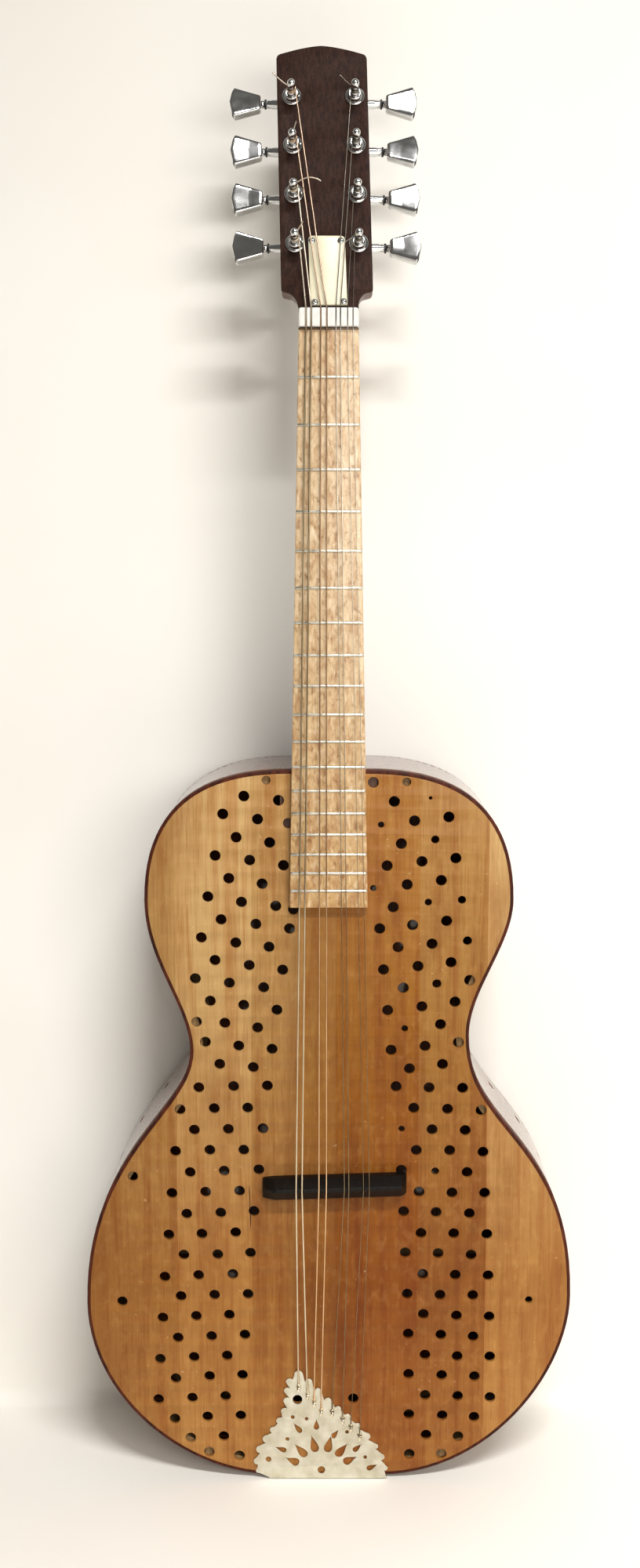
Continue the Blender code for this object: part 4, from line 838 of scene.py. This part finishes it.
def makeStrings():
    for number, one in enumerate(strings, 1):
        path = stringPath(one)
        wound = number < 5
        finish = finishes["plated" if number < 3 else "bronze" if wound else "steel"]
        sides = 10 if wound else 8
        length = np.concatenate([[0], np.cumsum(np.linalg.norm(np.diff(path, axis=0), axis=1))])
        shape = tube(path, one["size"] / 2, sides)
        makePiece("string_%d_wire" % number, shape, finish,
                  instead=("string_%d" % number,), sharp=60,
                  along=np.repeat(length, sides))
        # the loop at its end: once round the hook, then a few turns of its own wire about the string
        x, d = one["tail"]
        radius = one["size"] / 2
        turn = np.radians(np.linspace(-205, 25, 20))
        loop = at(x - 1.35 * np.cos(turn), d - 0.7 - 1.5 * np.sin(turn), 4.2 + 0.0 * turn)
        wind = np.linspace(0, 2 * np.pi * 4, 49)
        start = path[0]
        way = (path[1] - path[0]) / np.linalg.norm(path[1] - path[0])
        line = start + np.linspace(0, 3.6, 49)[:, None] * mm * way
        line = line + radius * 1.2 * mm * (np.cos(wind)[:, None] * (1, 0, 0) + np.sin(wind)[:, None] * (0, 1, 0))
        shape = joined([tube(loop, 0.26, 6), tube(line, 0.24, 6)])
        makePiece("string_%d_loop" % number, shape, finish,
                  sharp=60,
                  along=np.zeros(len(shape[0])))
    print("strings made")


# Tuners

def buttonShape(start, side, lean):
    # a keystone: half height and half thickness grow outwards, the end bulges, edges are rounded by a power of
    # the sine and cosine, the faces bend a little over a crease, and the lean tilts them up or down
    button = {"from": 20.4, "corner": 38.2, "tip": 41.0, "rows": 18, "columns": 48}
    u = np.concatenate([[0.0, 0.0, 0.012, 0.04], np.linspace(0.08, 0.94, button["rows"]), [0.97, 0.988, 1.0, 1.0]])[:, None]
    size = np.concatenate([[0.0, 0.8, 0.93, 1.0], np.ones(button["rows"]), [0.99, 0.95, 0.86, 0.0]])[:, None]
    phi = np.linspace(0, 2 * np.pi, button["columns"], endpoint=False)[None]
    power = 0.2
    high = np.sign(np.sin(phi)) * np.abs(np.sin(phi))**power
    thick = np.sign(np.cos(phi)) * np.abs(np.cos(phi))**power
    half = np.interp(u, (0.0, 0.06, 0.9, 1.0), (4.4, 5.2, 9.8, 10.3)) * size
    deep = np.interp(u, (0.0, 0.06, 0.46, 0.5, 0.54, 1.0), (3.3, 3.68, 3.7, 3.76, 3.78, 4.13)) * size
    end = button["corner"] + (button["tip"] - button["corner"]) * (1 - np.abs(high)**1.8) - button["from"]
    away = button["from"] + u * end
    up = onHead(0, 1, 0) - onHead(0, 0, 0)
    out = onHead(0, 0, 1) - onHead(0, 0, 0)
    rings = start + away[..., None] * np.array([side * mm, 0, 0]) + (half * high)[..., None] * up \
        + (deep * thick + lean * half * high)[..., None] * out
    return skin(rings, caps=False)


def makeTuner(label, side, number):
    name = "%s_%d" % (label, number + 1)
    x, v = postPlace(side, number)
    out = (onHead(0, 0, 1) - onHead(0, 0, 0)) / mm
    up = (onHead(0, 1, 0) - onHead(0, 0, 0)) / mm
    face = onHead(x, v, 0)
    ring = [(2.85, -12.0), (4.5, -12.0), (4.5, 0.3), (6.1, 0.3), (6.2, 0.5), (6.2, 0.8), (6.0, 1.15), (5.3, 1.45),
            (4.75, 1.6), (4.5, 2.0), (4.4, 3.7), (4.2, 4.2), (3.8, 4.5), (3.3, 4.6), (2.85, 4.4)]
    makePiece("bushing_%s_ring" % name, turned(ring, face, out, (1, 0, 0), 40, True), finishes["chrome"],
              instead=("bushing_" + name,), sharp=40)
    wheel = tuner["shaftLevel"]
    post = [(0.0, wheel - 4.4), (2.0, wheel - 4.4), (2.0, wheel - 2.0), (3.6, wheel - 2.0), (3.8, wheel - 1.6),
            (3.8, wheel + 1.6), (3.6, wheel + 2.0), (2.6, wheel + 2.0), (2.6, 6.4), (2.45, 6.7), (2.1, 6.95),
            (2.0, 7.4), (2.0, 12.0), (2.1, 12.4), (2.4, 12.8), (2.6, 13.2), (2.6, 16.3), (2.45, 17.1), (2.05, 17.75),
            (1.5, 18.15), (0.8, 18.36), (0.0, 18.4)]
    makePiece("post_%s_turned" % name, turned(post, face, out, (1, 0, 0), 36), finishes["chrome"],
              "post_%s_roller" % name, ("post_" + name,), 40)
    # the cup: a rounded rectangle carried over the back, then the same inside it
    phi = np.linspace(0, 2 * np.pi, 40, endpoint=False)
    wide = np.sign(np.cos(phi)) * np.abs(np.cos(phi))**0.42
    tall = np.sign(np.sin(phi)) * np.abs(np.sin(phi))**0.42
    steps = np.array([(0.0, 26.2), (3.6, 26.0), (5.6, 25.2), (6.4, 23.4), (6.6, 16.0), (7.9, 16.0), (8.0, 16.3),
                      (8.0, 16.8), (7.6, 17.1), (7.2, 17.4), (7.1, 24.2), (6.8, 25.6), (5.9, 26.8), (4.4, 27.4),
                      (0.0, 27.5)])
    rings = onHead(x + steps[:, :1] * wide, v + 1.8 + (steps[:, :1] * 1.045) * tall, -steps[:, 1:])
    centre = onHead(x, v + tuner["shaftUp"], wheel)
    sleeve = [(1.8, 6.6), (3.3, 6.6), (3.3, 8.6), (3.1, 9.0), (3.0, 13.0), (2.7, 14.2), (2.7, 16.3), (2.5, 16.5),
              (1.8, 16.5)]
    shapes = [skin(rings, caps=False), turned(sleeve, centre, (side, 0, 0), out, 32, True)]
    for place in (-5.8, 9.2):
        screw = [(0.0, -16.9), (0.9, -16.9), (1.1, -17.2), (1.1, -17.5), (0.8, -17.8), (0.0, -17.9)]
        shapes.append(turned(screw, onHead(x - side * 5.6, v + place * 0.82 + 0.4, 0), out, (1, 0, 0), 16))
    makePiece("housing_%s_cup" % name, joined(shapes), finishes["chrome"], instead=("housing_" + name,),
              sharp=40)
    shaft = [(0.0, -4.6), (1.9, -4.6), (1.9, 4.6), (1.4, 4.6), (1.4, 18.2), (2.0, 18.5), (2.5, 18.9), (2.6, 19.5),
             (2.3, 20.2), (1.9, 20.6), (1.9, 22.0), (0.0, 22.0)]
    shapes = [turned(shaft, centre, (side, 0, 0), out, 24), buttonShape(centre, side, tuner["leans"][side][number])]
    makePiece("knob_%s_button" % name, joined(shapes), finishes["chrome"], "knob_%s_turner" % name,
              ("knob_" + name,), 32)
    washer = [(1.45, 16.9), (2.9, 16.9), (3.1, 17.1), (3.1, 18.1), (2.9, 18.3), (1.45, 18.3)]
    makePiece("washer_%s_nylon" % name, turned(washer, centre, (side, 0, 0), out, 28, True), finishes["washer"],
              "knob_%s_turner" % name)


# Cut string ends that stand off their posts: the post, the string's size, then places from the post's axis
looseEnds = (
    ("bass", -1, 3, 0.8, ((0, 0, 11.0), (-3.0, 1.4, 11.6), (-7.5, 4.6, 12.4), (-12.0, 8.6, 13.2))),
    ("bass", -1, 2, 0.8, ((0, 0, 11.0), (0.4, 3.0, 11.6), (1.4, 6.0, 12.4), (2.4, 9.0, 13.0))),
    ("bass", -1, 1, 0.9, ((0, 0, 11.0), (3.4, 2.6, 12.4), (9.0, 4.4, 13.4), (14.0, 3.8, 13.4), (17.2, 2.2, 13.0))),
    ("bass", -1, 0, 0.9, ((0, 0, 11.0), (1.6, 2.8, 11.6), (3.4, 5.6, 12.4), (5.2, 8.4, 13.2))),
    ("treble", 1, 3, 0.5, ((0, 0, 11.0), (-3.2, 1.6, 11.6), (-6.6, 4.4, 12.2), (-9.6, 7.4, 12.8))),
    ("treble", 1, 0, 0.44, ((0, 0, 11.0), (-3.0, -1.0, 11.4), (-6.0, -2.6, 11.8), (-8.6, -4.4, 12.0))),
)


def makeTuners():
    for number in range(4):
        makeTuner("bass", -1, number)
        makeTuner("treble", 1, number)
    for label, side, number, size, marks in looseEnds:
        x, v = postPlace(side, number)
        marks = np.array(marks, float)
        path = smoothLine(onHead(x + marks[:, 0], v + marks[:, 1], marks[:, 2]), 8)
        shape = tube(path, size / 2, 8)
        finish = finishes["plated" if side < 0 else "steel"]
        makePiece("string_end_%s_%d" % (label, number + 1), shape, finish,
                  "post_%s_%d_roller" % (label, number + 1), sharp=60,
                  along=np.repeat(np.arange(len(path)) * 0.5 * mm, 8))
    print("tuners made")


makeBody()
makeNeck()
makeFingerboard()
makeNut()
makeBridge()
makeTailpiece()
makeStrings()
makeTuners()


# Room, lights and camera

def makeRoom():
    # cream paper: a floor, a small bend and a wall close behind the instrument's back
    room = {"floor": -0.787, "front": -4.0, "wall": 0.112, "radius": 0.012, "half": 6.0, "height": 4.5}
    made, tree, shader, where = newMaterial("cream_paper", Roughness=0.9)
    tooth = add(tree, "TexNoise", {"Vector": where, "Scale": per(260.0), "Detail": 2.0}).outputs[0]
    colour = add(tree, "ValToRGB", {"Fac": tooth}, stops=((0.3, "#f1eee7"), (0.7, "#f6f4ef")))
    tree.links.new(colour.outputs[0], shader.inputs["Base Color"])
    # seen from behind the paper is clear, so that the instrument's back can be looked at
    behind = add(tree, "NewGeometry").outputs["Backfacing"]
    shown = add(tree, "MixShader", {0: behind, 1: shader.outputs[0], 2: add(tree, "BsdfTransparent").outputs[0]})
    tree.links.new(shown.outputs[0], tree.nodes["Material Output"].inputs["Surface"])
    turn = np.linspace(0, np.pi / 2, 16)
    y = np.concatenate([[room["front"]], room["wall"] - room["radius"] * (1 - np.sin(turn)), [room["wall"]]])
    z = room["floor"] + np.concatenate([[0.0], room["radius"] * (1 - np.cos(turn)), [room["height"]]])
    across = np.array([-room["half"], room["half"]])[None]
    points = np.stack(np.broadcast_arrays(across, y[:, None], z[:, None]), axis=-1)
    mesh = bpy.data.meshes.new("floor_sweep")
    mesh.from_pydata(points.reshape(-1, 3).tolist(), [], gridFaces(len(y), 2, wrap=False))
    mesh.shade_smooth()
    mesh.materials.append(made)
    floor = bpy.data.objects.new("floor_sweep", mesh)
    bpy.context.scene.collection.objects.link(floor)


def makeLight(name, place, target, size, power, colour, spreading=180):
    lamp = bpy.data.lights.new(name, "AREA")
    lamp.shape, lamp.size, lamp.size_y = "RECTANGLE", size[0], size[1]
    lamp.energy, lamp.color = power, paint(colour)[:3]
    lamp.spread = math.radians(spreading)
    holder = bpy.data.objects.new(name, lamp)
    holder.location = place
    aim = np.array(place) - np.array(target)
    holder.rotation_euler = (math.atan2(math.hypot(aim[0], aim[1]), aim[2]), 0.0, math.atan2(aim[0], -aim[1]))
    bpy.context.scene.collection.objects.link(holder)


def makeCamera():
    seen = {"place": (0.0, -1.0464, -0.1701), "down": 7.1, "lens": 37.17, "sensor": 36.0, "shift": (-0.0055, -0.0015)}
    data = bpy.data.cameras.new("camera")
    data.sensor_fit, data.sensor_height, data.lens = "VERTICAL", seen["sensor"], seen["lens"]
    data.shift_x, data.shift_y = seen["shift"]
    data.clip_start, data.clip_end = 0.05, 30.0
    camera = bpy.data.objects.new("camera", data)
    camera.location = seen["place"]
    camera.rotation_euler = (math.radians(90 - seen["down"]), 0.0, 0.0)
    bpy.context.scene.collection.objects.link(camera)
    bpy.context.scene.camera = camera


makeRoom()
makeLight("window_light", (0.53, -1.7, 1.6), (0.53, 0.0, -0.4), (1.0, 0.42), 7.0, "#fffcf8")
makeLight("ceiling_light", (0.62, -1.72, 1.78), (0.58, 0.0, -0.95), (1.3, 0.07), 13.9, "#fffdfb", 80)
makeLight("fill_light", (0.55, -1.35, -0.05), (0.2, -0.3, -0.9), (1.0, 0.5), 11.0, "#fff9f0")
makeCamera()
world = bpy.data.worlds.new("room_light")
bpy.context.scene.world = world
world.use_nodes = True
background = world.node_tree.nodes["Background"]
background.inputs["Color"].default_value = paint("#efe9df")
background.inputs["Strength"].default_value = 0.15
bpy.context.scene.view_settings.view_transform = "Standard"
print("room made")
